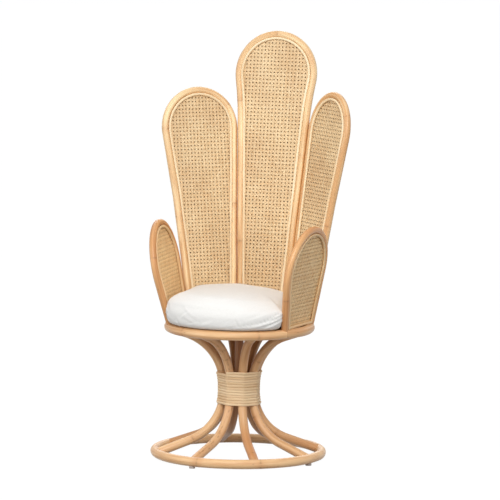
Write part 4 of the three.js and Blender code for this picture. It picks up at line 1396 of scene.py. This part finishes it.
points = read_points(cushion.data)
normals = read_normals(cushion.data)
turn, reach = turn_and_reach(points)
side_place = np.column_stack([turn * SIDE_REACH, points[:, 2]])
lift = np.zeros(len(points))
for *corners, depth, width in FOLDS:
    line = np.array([(math.radians(a) * SIDE_REACH, z) for a, z in corners])
    shares = np.linspace(0, 1, 13)[:, None]
    line = (1 - shares) ** 2 * line[0] + 2 * shares * (1 - shares) * line[1] + shares ** 2 * line[2]
    inside = (side_place > line.min(0) - FOLD_MARGIN) & (side_place < line.max(0) + FOLD_MARGIN)
    near = np.flatnonzero(np.all(inside, axis=1))
    if len(near) == 0:
        continue
    gaps = side_place[near, None, :] - line[None, :, :]
    closest = np.argmin((gaps ** 2).sum(2), axis=1)
    ahead = np.gradient(line, axis=0)
    ahead /= np.linalg.norm(ahead, axis=1, keepdims=True)
    best = gaps[np.arange(len(near)), closest]
    across = best[:, 0] * -ahead[closest, 1] + best[:, 1] * ahead[closest, 0]
    beyond = np.linalg.norm(best, axis=1)
    fade = np.sin(np.pi * np.clip(shares[closest, 0], 0.03, 0.97)) ** 0.6
    past_end = np.maximum(beyond - np.abs(across), 0)
    ridge = RIDGE_SHARE * hump(across - RIDGE_OFFSET * width, width) * hump(past_end, width)
    lift[near] += depth * fade * (ridge - hump(beyond, width))
side_share = np.clip((1.15 - np.abs(normals[:, 2])) * 1.5, 0, 1)
side_share *= np.clip((points[:, 2] - cushion_low.z - UNDERSIDE_FREE) / UNDERSIDE_EASE, 0, 1)
side_share *= np.clip((reach - FOLD_FROM) / FOLD_EASE, 0, 1)
write_points(cushion.data, rest_on_seat(points + normals * (lift * side_share)[:, None]))
only(cushion)
bpy.ops.object.shade_smooth()
print("laid", len(FOLDS), "folds, deepest", round(float((lift * side_share).min()) * 1000, 1), "mm")

# %% [markdown]
# The cover is a plain weave: one thread over, one under. The threads are finer than a pixel here, but
# they give cotton its dry, even look close up. The weave is laid on Object coordinates from above and
# from the two sides, and each face takes the one that it looks towards, so it needs no UV map. A little
# light passes through white cotton and its filling, which the shader's subsurface gives.

# %% White cotton
plain_weave, given, result = new_group(
    "plain_weave",
    [("Threads per metre", "NodeSocketFloat", 1500.0)],
    [("Thread", "NodeSocketFloat"), ("Slub", "NodeSocketFloat")],
)
g = plain_weave
place = add_node(g, "ShaderNodeTexCoord").outputs["Object"]
facing = add_node(g, "ShaderNodeNewGeometry").outputs["Normal"]
sides = add_node(g, "ShaderNodeSeparateXYZ")
join(g, facing, sides.inputs[0])
axes = add_node(g, "ShaderNodeSeparateXYZ")
join(g, place, axes.inputs[0])
waves = []
half_turns = times(g, given["Threads per metre"], math.pi)
for axis in range(3):
    waves.append(math_node(g, "SINE", times(g, axes.outputs[axis], half_turns)))
total = None
for axis in range(3):
    first, second = [waves[k] for k in range(3) if k != axis]
    weight = math_node(g, "POWER", math_node(g, "ABSOLUTE", sides.outputs[axis]), 3.0)
    part = times(g, times(g, first, second), weight)
    total = part if total is None else plus(g, total, part)
join(g, plus(g, times(g, total, 0.5), 0.5), result["Thread"])
join(g, ramp(g, stretched_noise(g, place, (95, 420, 420), 3.0, 0.6), 0.3, 0.7), result["Slub"])

cotton, tree, shader = new_finish("white_cotton")
cover = add_node(tree, "ShaderNodeGroup", {"node_tree": plain_weave})
thread, slub = cover.outputs["Thread"], cover.outputs["Slub"]
tone = plus(tree, times(tree, thread, 0.5), times(tree, slub, 0.5))
white = colour_mix(tree, tone, srgb(227, 226, 223), srgb(238, 237, 234))
join(tree, white, shader.inputs["Base Color"])
join(tree, plus(tree, times(tree, slub, 0.1), 0.8), shader.inputs["Roughness"])
raise_relief(tree, shader, thread, 0.25, 0.0004)
COTTON_LOOK = {
    "Specular IOR Level": 0.2, "Sheen Weight": 0.15, "Sheen Roughness": 0.5,
    "Subsurface Weight": 0.5, "Subsurface Radius": (1, 1, 1), "Subsurface Scale": 0.02}
for key, value in COTTON_LOOK.items():
    shader.inputs[key].default_value = value
finish_piece(cushion, cotton, "cushion", "seat_cushion", body="cushion")
